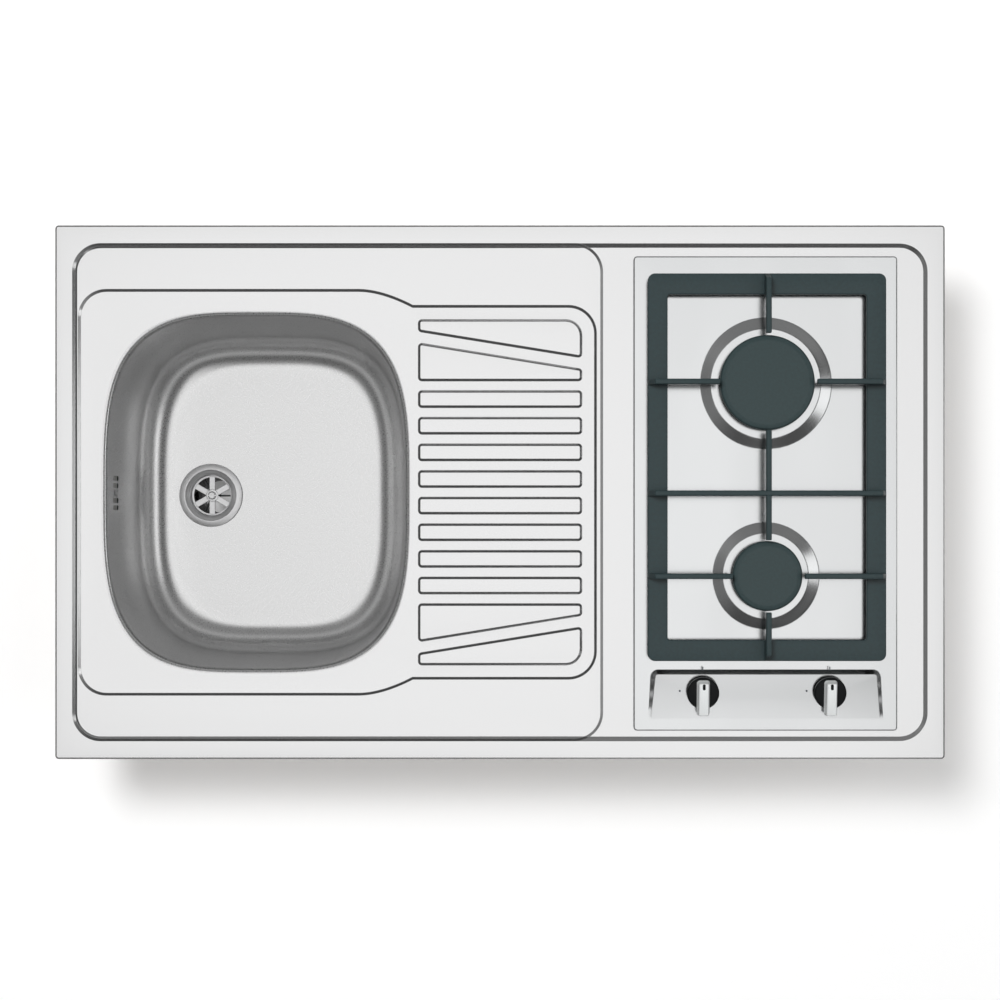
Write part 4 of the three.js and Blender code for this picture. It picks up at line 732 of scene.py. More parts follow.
# %% [markdown]
# The drainer has a row of straight ribs, and beyond each end of the row a pair of tapering ones
# that divide a rectangle along its diagonal. They could be modelled as bars laid on the sheet, but
# real ones are pressed from it and meet it in a slope. So they are outlines as well, made by a loop
# and mirrored from back to front.

# %% The drainer's ribs
rib_count, rib_pitch, rib_length, rib_width = 8, 30, 184, 18.9
rib_height, rib_slope, rib_corner, wedge_corner = 2.5, 3.2, 4, 18
rib_foot = 0.7  # the slope starts this far outside the rib's outline
wedge_narrow, wedge_wide, wedge_gap = 13.2, 42.8, 12.9


def rib_outlines():
    half = rib_length / 2
    places = (np.arange(rib_count) - (rib_count - 1) / 2) * rib_pitch
    outlines = [around(0, y, rib_length, rib_width, rib_corner, 7) for y in places]
    inner = places[-1] + rib_width / 2 + rib_pitch - rib_width
    outer = inner + wedge_wide + wedge_gap + wedge_narrow
    near = [(-half, inner), (half, inner), (half, inner + wedge_narrow),
            (-half, inner + wedge_wide)]
    far = [(half, outer), (-half, outer), (-half, outer - wedge_narrow),
           (half, outer - wedge_wide)]
    for corners, radii in ((near, rib_corner), (far, [wedge_corner] + [rib_corner] * 3)):
        back = rounded(corners, radii, 7)
        outlines += [back, (back * [1, -1])[::-1]]
    return outlines


ribs = rib_outlines()
print("ribs:", len(ribs))

# %% [markdown]
# All steps and ribs now come together in one formula. It takes flat points and gives them their
# heights, and it can be asked for any point, which is how the normals are found.

# %% The heights of the sheet
def sheet_height(flat):
    z = np.full(len(flat), float(rim_z))
    edge = np.clip(depth_inside(edge_outline, flat), 0, None)
    z -= edge_drop * eased((edge_radius + edge_slope - edge) / edge_slope, edge_ease)
    z -= edge_radius - np.sqrt(edge_radius ** 2 - np.clip(edge_radius - edge, 0, None) ** 2)
    z -= rim_step * eased(depth_inside(hob_field, flat) / rim_slope, slope_ease)
    z -= sink_step * eased(depth_inside(sink_field, flat) / sink_slope, slope_ease)
    z -= bowl_step * eased(depth_inside(bowl_field, flat) / bowl_slope, slope_ease)
    for rib in ribs:
        near = np.abs(flat[:, 1] - rib[:, 1].mean()) < wedge_wide
        inside = depth_inside(rib, flat[near]) + rib_foot
        z[near] += rib_height * eased(inside / rib_slope, slope_ease)
    return np.column_stack([flat, z])


print("height in the middle of a rib:", sheet_height(np.array([[0.0, rib_pitch / 2]]))[0, 2])

# %% [markdown]
# ## The bowl
# Seen from above the bowl's rim is close to a superellipse, the curve between an ellipse and a
# rectangle. Its section rolls over the edge, runs down a wall that leans in a little, turns through
# a wide fillet and ends in the floor, which falls to the waste. A subdivided box could come close,
# but its fillet would swell and shrink with the corners. Rings that follow a drawn section keep it
# true all the way round.

# %% Driving sizes of the bowl
bowl_x, bowl_half_x, bowl_half_y, bowl_power = -275.2, 173.7, 204, 3.38
bowl_depth, floor_fall = 150, 0.6
bowl_land, bowl_roll, bowl_draft, floor_fillet = 0.4, 6, 9, 36
ring_points = 144
roll_steps, wall_steps, fillet_steps, floor_steps = 8, 8, 12, 9
waste_x, waste_y = middle_of("waste_strainer")[:2]
waste_hole, waste_seat = 28, 40


def bowl_section():
    """Pairs of inset from the rim and depth, from the flat land round the bowl to the floor."""
    flat_depth = bowl_depth - floor_fall
    lean = math.atan2(bowl_draft, flat_depth - floor_fillet - bowl_roll)
    section = [(-bowl_land, 0), (-bowl_land / 2, 0)]
    for a in np.linspace(0, math.pi / 2 - lean, roll_steps + 1):
        section.append((bowl_roll * math.sin(a), bowl_roll * (1 - math.cos(a))))
    floor_inset = bowl_roll + bowl_draft + floor_fillet
    fillet = [(floor_inset - floor_fillet * math.cos(a),
               flat_depth - floor_fillet * (1 - math.sin(a)))
              for a in np.linspace(lean, math.pi / 2, fillet_steps + 1)]
    top, foot = np.array(section[-1]), np.array(fillet[0])
    wall = [tuple(top + (foot - top) * share)
            for share in np.linspace(0, 1, wall_steps + 1)[1:-1]]
    return np.array(section + wall + fillet)


section = bowl_section()
print("points of the bowl's section:", len(section))

# %% The bowl's rings
ring_angle = (np.arange(ring_points) + 0.5) / ring_points * 2 * math.pi


def bowl_ring(inset, depth):
    c, s = np.cos(ring_angle), np.sin(ring_angle)
    x = bowl_x + np.sign(c) * np.abs(c) ** (2 / bowl_power) * (bowl_half_x - inset)
    y = np.sign(s) * np.abs(s) ** (2 / bowl_power) * (bowl_half_y - inset)
    return np.column_stack([x, y, np.full(ring_points, field_z - depth)])


def bowl_floor_rings(last):
    """From the fillet's foot over the falling floor to the flat seat and the hole of the waste."""
    circle_points = np.column_stack([np.cos(ring_angle), np.sin(ring_angle),
                                     np.zeros(ring_points)])
    centre = np.array([waste_x, waste_y, field_z - bowl_depth])
    seat = centre + circle_points * waste_seat
    rings = []
    for share in np.linspace(0, 1, floor_steps + 1)[1:]:
        ring = last + (seat - last) * share
        ring[:, 2] = last[0, 2] - floor_fall * smooth(share)
        rings.append(ring)
    rings.append(centre + circle_points * (waste_seat + waste_hole) / 2)
    rings.append(centre + circle_points * waste_hole)
    return rings


bowl_rings = [bowl_ring(inset, depth) for inset, depth in section]
bowl_rings += bowl_floor_rings(bowl_rings[-1])
bowl_rim = bowl_rings[0][:, :2]
print("rings of the bowl:", len(bowl_rings))

# %% [markdown]
# ## Filling the sheet's pattern
# Now every outline is known: the fold, the fields, the ribs, and the two openings that the bowl and
# the hob fill. The hob's opening is smaller than its plate, whose edge covers it.

# %% Fill the sheet's pattern
hob_low, hob_high = box_of("hob_plate")
hob_x, hob_y = middle_of("hob_seal")[:2]
cutout_margin_x, cutout_margin_y, cutout_corner = 12, 18, 4
fold_shares = (0.5, 0.15, 0)  # rings in the fold, by how much of its radius they lie in

hob_half_x, hob_half_y = (hob_high - hob_low)[:2] / 2
cutout_half_x, cutout_half_y = hob_half_x - cutout_margin_x, hob_half_y - cutout_margin_y
cutout = rectangle(hob_x - cutout_half_x, hob_y - cutout_half_y,
                   hob_x + cutout_half_x, hob_y + cutout_half_y, cutout_corner)


def sheet_pattern():
    fold = slope_rings(edge_outline, edge_radius + edge_slope, -edge_slope, 6)
    fold += [moved_in(edge_outline, edge_radius * share) for share in fold_shares]
    loops = fold + [bowl_rim, cutout]
    for field, width in ((hob_field, rim_slope), (sink_field, sink_slope),
                         (bowl_field, bowl_slope)):
        loops += slope_rings(field, 0, width, 9)
    for rib in ribs:
        loops += slope_rings(rib, -rib_foot, rib_slope, 7)
    return filled(loops, fold[-1], (bowl_rim, cutout)), fold[-1]


(sheet_flat, sheet_faces), sheet_edge = sheet_pattern()
sheet_patch = surface_from(sheet_flat, sheet_faces, sheet_height)
print("triangles in the sheet's pattern:", len(sheet_faces))

# %% [markdown]
# The sheet's skirt is a plain band from the fold down to the cabinet. It is skinned through four
# copies of the outermost outline, and welded to the pattern.

# %% The sheet with its skirt
def lifted(outline, z):
    """A flat outline as a ring at a height."""
    return np.column_stack([outline, np.full(len(outline), z)])


skirt_rings = [lifted(sheet_edge, z)
               for z in np.linspace(sheet_low[2], rim_z - edge_drop - edge_radius, 4)]
pressed_top = sheet_metal("pressed_top", [sheet_patch, grid_patch(skirt_rings)], sheet_thickness,
                          "top_steel", "top")
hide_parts("top_sheet")

# %% [markdown]
# The overflow's slots pierce the bowl's left wall, with a small screw between them. A boolean cut
# would leave long thin faces in the curved wall, which show in steel. So a small window is left out
# of the bowl's grid there, and filled by the same method as the sheet, on a flat map of the wall
# whose two directions are depth and Y.

# %% Driving sizes of the overflow
overflow_depth = 33
slot_pitch, slot_width, slot_height, slot_corner = 8.4, 5.6, 20, 1.6
slot_places = slot_pitch * np.array([-2, -1, 1, 2])  # the screw is in the middle
overflow_hole = 2.6
land_rows = 2  # the section's rows before the roll
wall_start = land_rows + roll_steps  # the row where the straight wall starts
window_rows = range(wall_start + 1, wall_start + 3)
window_columns = range(ring_points // 2 - 2, ring_points // 2 + 1)
print("the window takes", len(window_rows) * len(window_columns), "squares of the bowl's grid")

# %% The window in the bowl's wall
def wall_place(map_points):
    """A point of the left wall from its depth and its Y."""
    depth, y = map_points[:, 0], map_points[:, 1]
    inset = np.interp(depth, section[:, 1], section[:, 0])
    across = np.abs(y / (bowl_half_y - inset)) ** bowl_power
    x = bowl_x - (bowl_half_x - inset) * (1 - across) ** (1 / bowl_power)
    return np.column_stack([x, y, field_z - depth])


def window_border():
    """The points of the bowl's grid round the window, counter-clockwise on the map."""
    rows = [*window_rows, window_rows[-1] + 1]
    columns = [*window_columns, window_columns[-1] + 1]
    path = [(rows[0], c) for c in columns] + [(r, columns[-1]) for r in rows[1:]]
    path += [(rows[-1], c) for c in columns[-2::-1]] + [(r, columns[0]) for r in rows[-2:0:-1]]
    border = np.array([(field_z - bowl_rings[r][c][2], bowl_rings[r][c][1]) for r, c in path])
    following = np.roll(border, -1, axis=0)
    turning = (following[:, 1] * border[:, 0] - following[:, 0] * border[:, 1]).sum()
    return border if turning > 0 else border[::-1]


def overflow_window():
    border = window_border()
    holes = [around(overflow_depth, y, slot_height, slot_width, slot_corner, 5)
             for y in slot_places]
    holes.append(circle(overflow_depth, 0, overflow_hole, 16))
    flat, faces = filled([border, *holes], border, holes)
    return surface_from(flat, faces, wall_place)


# %% The bowl with its overflow slots
def bowl_patch():
    points, normals, faces = grid_patch(bowl_rings)
    kept = [faces[i * ring_points + j] for i in range(len(bowl_rings) - 1)
            for j in range(ring_points) if not (i in window_rows and j in window_columns)]
    return points, normals, kept


drawn_bowl = sheet_metal("drawn_bowl", [bowl_patch(), overflow_window()], sheet_thickness,
                         "bowl_steel", "top")
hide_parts("sink_bowl")

# %% [markdown]
# ## The hob's plate
# The plate is sheet metal too: its edge is folded down, each burner stands on a low cone, and at
# the front a console rises to the back, so that the knobs face the cook. Cones could be cut from
# cylinders and the console from a wedge, but pressed steel has no seams between them. So this is
# again one pattern with heights, and a slope with a straight run and eased ends.

# %% Driving sizes of the hob
hob_rise = 5  # above the field that it lies on
plate_z = rim_z - rim_step + hob_rise
plate_thickness, plate_corner, plate_fold = 1.0, 4, 1.6
boss_rise, boss_run, boss_land, boss_ease, throat_inset = 4, 14.5, 7.6, 0.14, 16
console_half, console_rear, console_length, console_rise = 129, -198.7, 53, 7
console_slope, console_ease, console_flare, console_bend = 6.0, 0.2, 4.5, 6
console_corner, console_front_corner = 9, 2
spindle_hole = 5
console_front = console_rear - console_length
console_tilt = math.atan2(console_rise, console_length)
burner_ends = ("rear", "front")
burner_at = {end: middle_of("burner_cap_" + end)[:2] for end in burner_ends}
cap_radius = {end: box_of("burner_cap_" + end)[1][0] - burner_at[end][0] for end in burner_ends}
boss_foot = {end: cap_radius[end] + boss_land + boss_run for end in burner_ends}
knob_sides = ("left", "right")
knob_at = {side: middle_of("knob_" + side)[:2] for side in knob_sides}
print("caps:", {end: round(r, 1) for end, r in cap_radius.items()}, "knobs:", knob_at)

# %% [markdown]
# The console's front edge is a bend across the plate, with a little flare to its sides. The bend is
# a stretch of parabola, because it meets the flat plate and the tilted console without a kink.

# %% The outlines and the heights of the plate
plate_outline = rectangle(hob_low[0], hob_low[1], hob_high[0], hob_high[1], plate_corner, 8)
console_wide = console_half + console_flare
bend_start = console_front - console_bend
console = rounded([(hob_x - console_wide, bend_start), (hob_x + console_wide, bend_start),
                   (hob_x + console_half, console_rear), (hob_x - console_half, console_rear)],
                  [console_front_corner] * 2 + [console_corner] * 2, 8)


def plate_height(flat):
    z = np.full(len(flat), float(plate_z))
    edge = np.clip(depth_inside(plate_outline, flat), 0, plate_fold)
    z -= plate_fold - np.sqrt(plate_fold ** 2 - (plate_fold - edge) ** 2)
    for end in burner_ends:
        away = np.linalg.norm(flat - burner_at[end], axis=1)
        z += boss_rise * eased((boss_foot[end] - away) / boss_run, boss_ease)
    along = flat[:, 1] - console_front
    bent = np.clip(along + console_bend, 0, None) ** 2 / (4 * console_bend)
    crest = np.where(along < console_bend, bent, along) * math.tan(console_tilt)
    z += crest * eased(depth_inside(console, flat) / console_slope, console_ease)
    return np.column_stack([flat, z])


print("the console rises by", console_rise, "mm,", round(math.degrees(console_tilt), 1), "degrees")

# %% The plate
def hob_plate():
    fold = [moved_in(plate_outline, plate_fold * (1 - math.sin(a)))
            for a in np.linspace(0, math.pi / 2, 6)]
    loops = fold + slope_rings(console, 0, console_slope, 6)
    holes = []
    for end in burner_ends:
        loops += [circle(*burner_at[end], boss_foot[end] - boss_run * share)
                  for share in np.linspace(0, 1, 9)]
        holes.append(circle(*burner_at[end], cap_radius[end] - throat_inset))
    holes += [circle(*knob_at[side], spindle_hole, 24) for side in knob_sides]
    flat, faces = filled(loops + holes, fold[-1], holes)
    top = surface_from(flat, faces, plate_height)
    edge = [lifted(fold[-1], z) for z in np.linspace(hob_low[2], plate_z - plate_fold, 3)]
    return sheet_metal("brushed_plate", [top, grid_patch(edge)], plate_thickness, "hob_steel",
                       "top")


plate = hob_plate()
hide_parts("hob_plate")

# %% [markdown]
# ## Turned pieces
# Caps, crowns, knobs and the strainer are turned: a section is drawn once and spun. A cylinder with
# a bevel is quicker, but it has one kind of edge only. In a section each corner is rounded by its
# own radius, because no real edge is sharp, and the thin line of light along an edge is what makes
# a piece look made.

# %% Turning a section
def eased_corners(section, radii, steps=4):
    """An open section with each inner corner rounded by its radius."""
    section = [np.array(p, float) for p in section]
    line = [section[0][None]]
    for before, corner, after, radius in zip(section, section[1:], section[2:], radii[1:]):
        line.append(arc_corner(before, corner, after, radius, steps) if radius else corner[None])
    line.append(section[-1][None])
    return np.concatenate(line)


def eased_ring(section, radii):
    """A section that closes on itself, rounded all round. The radii start at its second corner."""
    return eased_corners([*section, section[0], section[1]], [0, *radii, 0])[1:-1]


def turned_patch(section, at=(0, 0), count=96, on_axis=1e-6):
    """Points and faces of a section of radius and height, spun about the Z axis."""
    points, faces, rows = [], [], []
    turn = np.arange(count) / count * 2 * math.pi
    for radius, z in section:
        first = len(points)
        if radius < on_axis:
            points.append((at[0], at[1], z))
            rows.append([first] * count)
        else:
            points += [(at[0] + radius * math.cos(a), at[1] + radius * math.sin(a), z)
                       for a in turn]
            rows.append(list(range(first, first + count)))
    for low, high in zip(rows, rows[1:]):
        for j in range(count):
            n = (j + 1) % count
            face = tuple(dict.fromkeys((low[j], low[n], high[n], high[j])))
            if len(face) > 2:
                faces.append(face)
    return np.array(points), faces


# %% [markdown]
# Such skins are closed, and may be put together from several, such as a ring and its teeth. Before
# one becomes a piece, points that coincide are made one and its faces are turned outwards.

# %% Solid pieces from closed skins
def taken_from(work):
    """The points and faces of a bmesh, which is freed."""
    work.verts.index_update()
    points = np.array([v.co[:] for v in work.verts])
    faces = [tuple(v.index for v in face.verts) for face in work.faces]
    work.free()
    return points, faces


def cleaned(points, faces, grain=1e-4):
    """Makes points that coincide one, and turns all faces outwards."""
    work = bmesh.new()
    corners = [work.verts.new(p) for p in points]
    for face in faces:
        try:
            work.faces.new([corners[i] for i in face])
        except ValueError:
            continue
    bmesh.ops.remove_doubles(work, verts=work.verts, dist=grain)
    bmesh.ops.recalc_face_normals(work, faces=work.faces)
    return taken_from(work)


def solid_piece(name, parts, material, body):
    """A piece from closed skins, each given by its points and faces."""
    return mesh_piece(name, *cleaned(*joined(parts)), material, body)


# %% [markdown]
# Three kinds of closed skin cover most small pieces: a turned section, rings from a flat bottom to
# a flat top, and one outline at several heights, moved in as its edges round over.

# %% Turned pieces, and skins over an outline
def turned(name, section, at, material, body, count=96, extra=()):
    """A turned piece with extra skins. Its section starts and ends on the axis, or is a ring."""
    return solid_piece(name, [turned_patch(section, at, count), *extra], material, body)


def ring_patch(rings):
    """A closed skin through rings of points, from its flat bottom to its flat top."""
    count = len(rings[0])
    last = (len(rings) - 1) * count
    caps = [tuple(range(count))[::-1], tuple(range(last, last + count))]
    return np.concatenate(rings), ring_faces(len(rings), count) + caps


def stacked(outline, levels):
    """A closed skin over an outline. Each level is how far it is moved in, and its height."""
    return ring_patch([lifted(moved_in(outline, inset), z) for inset, z in levels])


def placed(place, patch):
    """A patch moved by a matrix."""
    points, faces = patch
    return np.array([place @ Vector(p) for p in points]), faces


# %% [markdown]
# ## The burners
# Each burner is a crown of cast aluminium with a slot between each pair of teeth, where the flame
# comes out, and a cap of enamelled steel that closes it from above. The slots could be cut from a
# ring, one boolean after the other. It is simpler to do as a pattern maker does, and to stand the
# teeth on a plain turned ring.

# %% Driving sizes of the crowns
crown_inset, crown_wall, port_width, port_depth = 4, 6, 1.8, 4.5
port_count = {"rear": 24, "front": 18}
skirt_depth, skirt_wall, skirt_gap = 9, 2.5, 1.5
venturi, tube_wall, crown_floor, floor_taper = 9, 3, 2.6, 2
tooth_root, tooth_bevel, tooth_steps = 0.5, 0.35, 3
print("flame slots:", port_count)

# %% A tooth between two flame slots
def tooth(inner, outer, low, high, start, end):
    """A block between two radii and two angles, with its upper edges eased."""
    rings = []
    for z, inset in ((low, 0), (high - tooth_bevel, 0), (high, tooth_bevel)):
        spread = inset / outer
        turns = np.linspace(start + spread, end - spread, tooth_steps + 1)
        ring = [(outer - inset, a) for a in turns] + [(inner + inset, a) for a in turns[::-1]]
        rings.append(np.array([(r * math.cos(a), r * math.sin(a), z) for r, a in ring]))
    return ring_patch(rings)


# %% The crowns
def burner_crown(end):
    low, high = box_of("burner_crown_" + end)
    base = low[2] + skirt_depth
    rim = cap_radius[end] - crown_inset
    skirt = cap_radius[end] - throat_inset - skirt_gap
    tube = venturi + tube_wall
    inside = rim - crown_wall
    port_floor = high[2] - port_depth
    section = [(venturi, low[2]), (tube, low[2]), (tube, base), (skirt - skirt_wall, base),
               (skirt - skirt_wall, low[2]), (skirt, low[2]), (skirt, base), (rim, base),
               (rim, port_floor), (inside, port_floor),
               (inside - floor_taper, base + crown_floor), (venturi, base + crown_floor)]
    ports = port_count[end]
    reach = math.pi / ports - port_width / rim / 2
    teeth = []
    for i in range(ports):
        middle = (i + 1) / ports * 2 * math.pi
        points, faces = tooth(inside, rim, port_floor - tooth_root, high[2], middle - reach,
                              middle + reach)
        teeth.append((points + [*burner_at[end], 0], faces))
    crown = turned("crown_" + end, section + section[:1], burner_at[end], "crown_aluminium",
                   "crown_" + end, extra=teeth)
    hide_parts("burner_crown_" + end)


# %% [markdown]
# A cap is nearly flat on top, with a broad soft shoulder that shows as a grey line. Below, a ring
# hangs into the crown and keeps the cap in its middle.

# %% The caps, and both burners
cap_lip, cap_hollow, cap_ring_wall, cap_ring_gap = 3, 5.5, 3, 1.5
lip_edge, shoulder_low = 0.6, 3.2
shoulder_inset, shoulder_high, cap_top_inset = 1.6, 0.9, 6
cap_radii = [0, 0.4, 0.4, 0.4, 0.4, 0.3, 0.3, 1.0, 1.6, 3, 0]


def burner_cap(end):
    low, high = box_of("burner_cap_" + end)
    bottom, top = low[2], high[2]
    radius = cap_radius[end]
    lip = bottom + cap_lip
    ring = radius - crown_inset - crown_wall - cap_ring_gap
    section = [(0, bottom + cap_hollow), (ring - cap_ring_wall, bottom + cap_hollow),
               (ring - cap_ring_wall, bottom), (ring, bottom), (ring, lip),
               (radius - lip_edge, lip), (radius, lip + lip_edge), (radius, top - shoulder_low),
               (radius - shoulder_inset, top - shoulder_high), (radius - cap_top_inset, top),
               (0, top)]
    cap = turned("cap_" + end, eased_corners(section, cap_radii), burner_at[end], "cap_enamel",
                 "cap_" + end, 128)
    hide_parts("burner_cap_" + end)


for end in burner_ends:
    burner_crown(end)
    burner_cap(end)

# %% [markdown]
# ## The pan support
# A flat frame of dark enamelled steel carries bars on edge. Each bar's end slopes down onto the
# frame, and the bars that point at a burner stop short of its cap. Thin boxes would do for the
# bars, but enamel rounds every edge and shows it as a pale line. So every bar is one flat outline,
# given its thickness and eased along all its edges.

# %% Driving sizes of the pan support
support_low, support_high = box_of("pan_support")
band_x, band_y, band_thickness, band_corner, window_corner = 22, 23.5, 6, 8, 3
bar_width, bar_depth, bar_slope, finger_gap = 6, 10, 7, 0.9
band_bevel, bar_bevel = 1.3, 1.1
bar_sink, bar_inset, nose_height = 1, 0.5, 3  # where a bar's end stands on the frame
tip_round, tip_share = 3.2, 0.3  # the free end of a bar
cross_bar_y, weld = -1.9, 0.8
seam_angle = math.radians(20)  # edges that bend more than this are eased
band_top = support_low[2] + band_thickness
bar_top = support_high[2]
print("pan support:", np.round(support_high - support_low, 1), "mm")

# %% A bar, from the side
def slab(outline, thickness, bevel, place):
    """A flat outline given a thickness, with eased edges; place turns it into the frame."""
    work = bmesh.new()
    corners = [work.verts.new((u, -thickness / 2, v)) for u, v in outline]
    face = work.faces.new(corners)
    pushed = bmesh.ops.extrude_face_region(work, geom=[face])["geom"]
    moved = [g for g in pushed if isinstance(g, bmesh.types.BMVert)]
    bmesh.ops.translate(work, verts=moved, vec=(0, thickness, 0))
    bmesh.ops.recalc_face_normals(work, faces=work.faces)
    edges = [e for e in work.edges if e.calc_face_angle(0) > seam_angle]
    bmesh.ops.bevel(work, geom=edges, offset=bevel, segments=3, profile=0.5, affect="EDGES")
    return placed(place, taken_from(work))


def bar_end(on_frame):
    """An end of a bar from below, round the end, to above: pairs of distance in and height."""
    low, foot = bar_top - bar_depth, band_top - bar_sink
    if on_frame:
        return [(band_x + bar_slope, low), (band_x, foot), (bar_inset, foot),
                (bar_inset, band_top + nose_height), (bar_slope, bar_top)]
    near = tip_round * tip_share
    return [(tip_round, low), (near, low + near), (0, low + tip_round), (0, bar_top)]


def bar_outline(start, stop, start_on_frame, stop_on_frame):
    """A bar from the side: an end on the frame slopes down to it, a free end is rounded."""
    left = [(start + inward, z) for inward, z in bar_end(start_on_frame)]
    right = [(stop - inward, z) for inward, z in bar_end(stop_on_frame)]
    return left[2::-1] + right + left[:2:-1]


# %% The flat frame
def frame_patch():
    """A rounded rectangle with a window, eased along its edges."""
    left, front, bottom = support_low
    right, back = support_high[:2]
    outer = rectangle(left, front, right, back, band_corner, 10)
    inner = rectangle(left + band_x, front + band_y, right - band_x, back - band_y,
                      window_corner, 10)
    turns = np.linspace(0, math.pi / 2, 5)
    lower = [(band_bevel * (1 - math.sin(a)), bottom + band_bevel * (1 - math.cos(a)))
             for a in turns]
    upper = [(band_bevel * (1 - math.cos(a)), band_top - band_bevel * (1 - math.sin(a)))
             for a in turns]
    rings = []
    for side, sign in ((outer, 1), (inner, -1)):
        rings += [lifted(moved_in(side, sign * inset), z) for inset, z in lower + upper][::sign]
    return np.concatenate(rings), ring_faces(len(rings), len(outer), wrapped=True)


# %% [markdown]
# The bars come from the places of the burners: two fingers from each side to each burner, one bar
# right across between the burners, and a line of bars from front to back that the burners
# interrupt.

# %% Put the pan support together
def pan_grid():
    parts = [frame_patch()]
    left, right = support_low[0], support_high[0]
    front_y, rear_y = support_low[1], support_high[1]
    reach = {end: cap_radius[end] + finger_gap for end in burner_ends}
    crosswise = [(left, right, True, True, cross_bar_y)]
    for end in burner_ends:
        x, y = burner_at[end]
        crosswise += [(left, x - reach[end], True, False, y),
                      (x + reach[end], right, False, True, y)]
    for *bar, y in crosswise:
        place = Matrix.Translation((0, y, 0))
        parts.append(slab(bar_outline(*bar), bar_width, bar_bevel, place))
    rear, front = burner_at["rear"][1], burner_at["front"][1]
    lengthwise = [(front_y, front - reach["front"], True, False),
                  (front + reach["front"], cross_bar_y - bar_width / 2 + weld, False, False),
                  (cross_bar_y + bar_width / 2 - weld, rear - reach["rear"], False, False),
                  (rear + reach["rear"], rear_y, False, True)]
    place = (Matrix.Translation((burner_at["rear"][0], 0, 0))
             @ Matrix.Rotation(math.pi / 2, 4, "Z"))
    parts += [slab(bar_outline(*bar), bar_width, bar_bevel, place) for bar in lengthwise]
    grid = solid_piece("pan_grid", parts, "pan_enamel", "pan_rack")
    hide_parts("pan_support")


pan_grid()

# %% [markdown]
# ## The knobs
# A knob is a black disc with a silver bar across it for the fingers. Both stand square to the
# sloping console. They could be drawn tilted, but upright sections are easier to read, so they are
# made upright and then tilted about the point where the tap's axis passes the plate.

# %% Driving sizes of the knobs
knob_lift, knob_thickness, knob_radius = 4.8, 5, 18
knob_recess, knob_rim, knob_shoulder, knob_shoulder_inset = 0.6, 2, 1.2, 1.6
knob_radii = [0, 0.2, 0.4, 0.5, 0.8, 1.2, 0]
grip_width, grip_rear, grip_front, grip_height, grip_flare = 14.5, 15, 25, 11, 1.5
grip_gap, grip_corner, grip_round, grip_top_inset = 0.05, 3.4, 2.6, 1.6
grip_foot_inset, grip_foot_height = 0.15, 0.25
notch_width, notch_length, notch_corner, notch_back = 3.2, 6.5, 1.2, 5.5
notch_depth, notch_proud = 0.8, 0.04
axis_y = -223.7
axis_z = plate_z + (axis_y - console_front) * math.tan(console_tilt)
grip_base = knob_lift + knob_thickness + grip_gap
print("the tap's axis passes the plate at Y", axis_y, "and Z", round(axis_z, 2))


def on_console(side, patch):
    """Tilts a patch that was made upright round the tap's axis, and puts it on the console."""
    place = Matrix.Translation((knob_at[side][0], axis_y, axis_z))
    return placed(place @ Matrix.Rotation(console_tilt, 4, "X"), patch)


# %% [markdown]
# The disc is turned, with a thin rim underneath. The grip is an outline that is moved in as it
# rises, so that it flares at its foot and rounds over at its top. A black mark lies near its rear
# end.

# %% The knobs
def knob_disc(side):
    high = knob_lift + knob_thickness
    hollow = knob_lift + knob_recess
    inner = knob_radius - knob_rim
    section = [(0, hollow), (inner, hollow), (inner, knob_lift), (knob_radius, knob_lift),
               (knob_radius, high - knob_shoulder), (knob_radius - knob_shoulder_inset, high),
               (0, high)]
    disc = solid_piece("knob_disc_" + side,
                       [on_console(side, turned_patch(eased_corners(section, knob_radii)))],
                       "knob_black", "knob_set_" + side)
    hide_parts("knob_" + side)


def knob_grip(side):
    shoulder = grip_height - grip_round
    levels = [(0, 0), (grip_foot_inset, grip_foot_height)]
    levels += [(grip_flare + grip_top_inset * (1 - math.cos(a)),
                shoulder + grip_round * math.sin(a)) for a in np.linspace(0, math.pi / 2, 7)]
    outline = rectangle(-grip_width / 2, -grip_front, grip_width / 2, grip_rear, grip_corner, 8)
    skin = stacked(outline, [(inset, grip_base + z) for inset, z in levels])
    grip = solid_piece("grip_" + side, [on_console(side, skin)], "knob_silver",
                       "knob_set_" + side)
    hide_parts("knob_grip_" + side)


def knob_pointer(side):
    top = grip_base + grip_height
    mark = around(0, grip_rear - notch_back, notch_width, notch_length, notch_corner, 4)
    skin = stacked(mark, [(0, top - notch_depth), (0, top + notch_proud)])
    solid_piece("pointer_" + side, [on_console(side, skin)], "knob_black", "knob_set_" + side)


for side in knob_sides:
    knob_disc(side)
    knob_grip(side)
    knob_pointer(side)

# %% [markdown]
# ## The waste
# The strainer is pressed from one disc: a dished flange, a short cup and a grid of six spokes
# round a hub, held down by a slotted screw. The six openings could be cut from a disc, but it is
# easier to turn the flange and the hub, and to lay the spokes between them by a loop. The screw is
# left as the CAD has it.

# %% Driving sizes of the strainer
strainer_low, strainer_high = box_of("waste_strainer")
flange_radius, flange_dish, flange_edge, dish_width = 38, 1.6, 0.7, 5
cup_radius, cup_wall, cup_shoulder, ledge_width = 26, 1.4, 1.5, 2.5
grid_lift, grid_thickness = 1, 1.6
flange_radii = [0.3, 0.3, 2.5, 2.0, 0.5, 0.3, 0.3, 0.5, 0.3]
spoke_count, spoke_width, spoke_corner = 6, 7, 0.4
spoke_foot_ease, spoke_top_ease = 0.3, 0.4
spoke_in_hub, spoke_in_ledge = 2, 1
hub_radius, hub_rise, screw_radius, screw_gap = 7.5, 0.6, 3, 0.3
hub_radii = [0.4, 0.5, 0.3, 0.3]
grid_low = strainer_low[2] + grid_lift
grid_high = grid_low + grid_thickness
print("strainer:", np.round(strainer_high - strainer_low, 1), "mm")

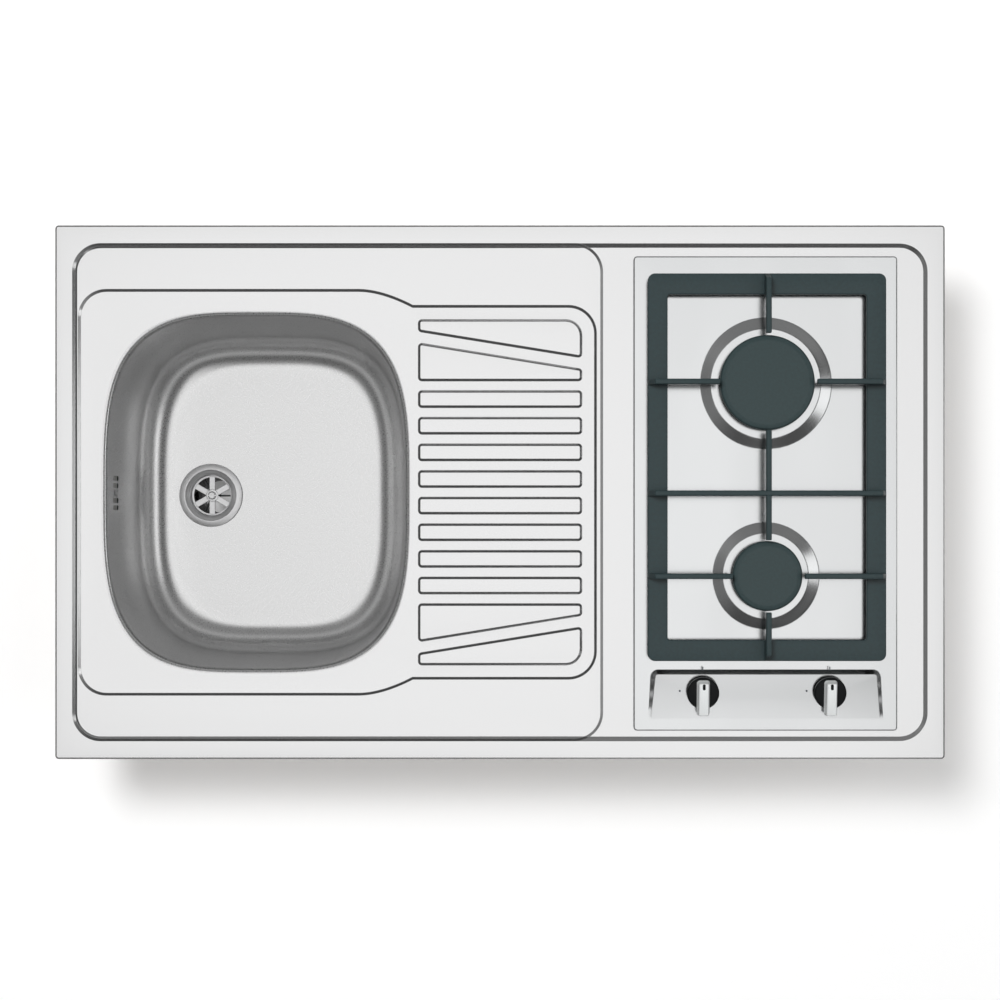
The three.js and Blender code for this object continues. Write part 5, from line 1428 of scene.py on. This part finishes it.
# %% The strainer
def flange_section():
    flange_low = strainer_high[2] - flange_dish
    inner = cup_radius - cup_wall
    ledge = inner - ledge_width
    section = [(cup_radius, flange_low), (flange_radius, flange_low),
               (flange_radius, flange_low + flange_edge),
               (cup_radius + dish_width, strainer_high[2]), (inner, flange_low - cup_shoulder),
               (inner, grid_high), (ledge, grid_high), (ledge, grid_low), (cup_radius, grid_low)]
    return eased_ring(section, flange_radii), ledge


def hub_patch():
    bore = screw_radius + screw_gap
    section = [(bore, strainer_low[2]), (hub_radius, strainer_low[2]),
               (hub_radius, grid_high + hub_rise), (bore, grid_high + hub_rise)]
    return turned_patch(eased_ring(section, hub_radii), (waste_x, waste_y), 48)


def strainer():
    flange, ledge = flange_section()
    bar = rectangle(hub_radius - spoke_in_hub, -spoke_width / 2, ledge + spoke_in_ledge,
                    spoke_width / 2, spoke_corner, 2)
    spoke = stacked(bar, [(spoke_foot_ease, grid_low), (0, grid_low + spoke_foot_ease),
                          (0, grid_high - spoke_top_ease), (spoke_top_ease, grid_high)])
    skins = []
    for i in range(spoke_count):
        turn = Matrix.Rotation(math.pi / 2 + i * 2 * math.pi / spoke_count, 3, "Z")
        points, faces = placed(turn, spoke)
        skins.append((points + [waste_x, waste_y, 0], faces))
    skins.append(hub_patch())
    piece = turned("strainer", flange, (waste_x, waste_y), "bright_steel", "top", extra=skins)
    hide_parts("waste_strainer")


strainer()

# %% [markdown]
# ## The taps' springs
# Under each knob a spring pushes the spindle up, and pushing the knob in squeezes it. A spring that
# moved with the knob would run into the tap, and one that stayed would run into the spindle. Here
# each spring is the CAD's coil, copied into a mesh of its own that rides on the tap's core.

# %% The springs, copied onto the taps' cores
joints = {joint["name"]: joint for joint in frame["joints"]}
spindle_way = Vector(joints["knob_turn_left"]["axis"]).normalized()


def along_spindle(vertex):
    return Vector(vertex.co).dot(spindle_way)


for side in knob_sides:
    node_name = "tap_spring_" + side
    coil = frame["nodes"][node_name].data.copy()
    spring = bpy.data.objects.new("squeezed_spring_" + side, coil)
    bpy.context.scene.collection.objects.link(spring)
    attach(spring, "tap_core_" + side)
    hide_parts(node_name)
    low = min(coil.vertices, key=along_spindle)
    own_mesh(spring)

# %% [markdown]
# ## Marks on the console
# Small printed marks round each knob show off, full and low flame: plain ticks and dots. Print has
# no thickness to speak of, but an image wrapped on the plate would be a file of its own. So each
# mark is a very thin plate that stands proud by less than a tenth of a millimetre.

# %% The printed marks
finish("dial_print", (0.10, 0.11, 0.12), 0.6, 0.0, 900)
print_sunk, print_proud = 0.05, 0.06
# Each mark: its place from the tap's axis, its width and length, and its corners.
dial_shapes = {"off": (0, 26.5, 1.2, 4.2, 0.5), "low": (-25.5, 1.0, 2.4, 2.4, 1.1),
               "full": (13.5, -24.5, 3.6, 3.6, 1.7)}


def dial_mark(side, word):
    skin = stacked(around(*dial_shapes[word], 5), [(0, -print_sunk), (0, print_proud)])
    piece = solid_piece("mark_" + word + "_" + side, [on_console(side, skin)], "dial_print", "top")


for side in knob_sides:
    for word in dial_shapes:
        dial_mark(side, word)
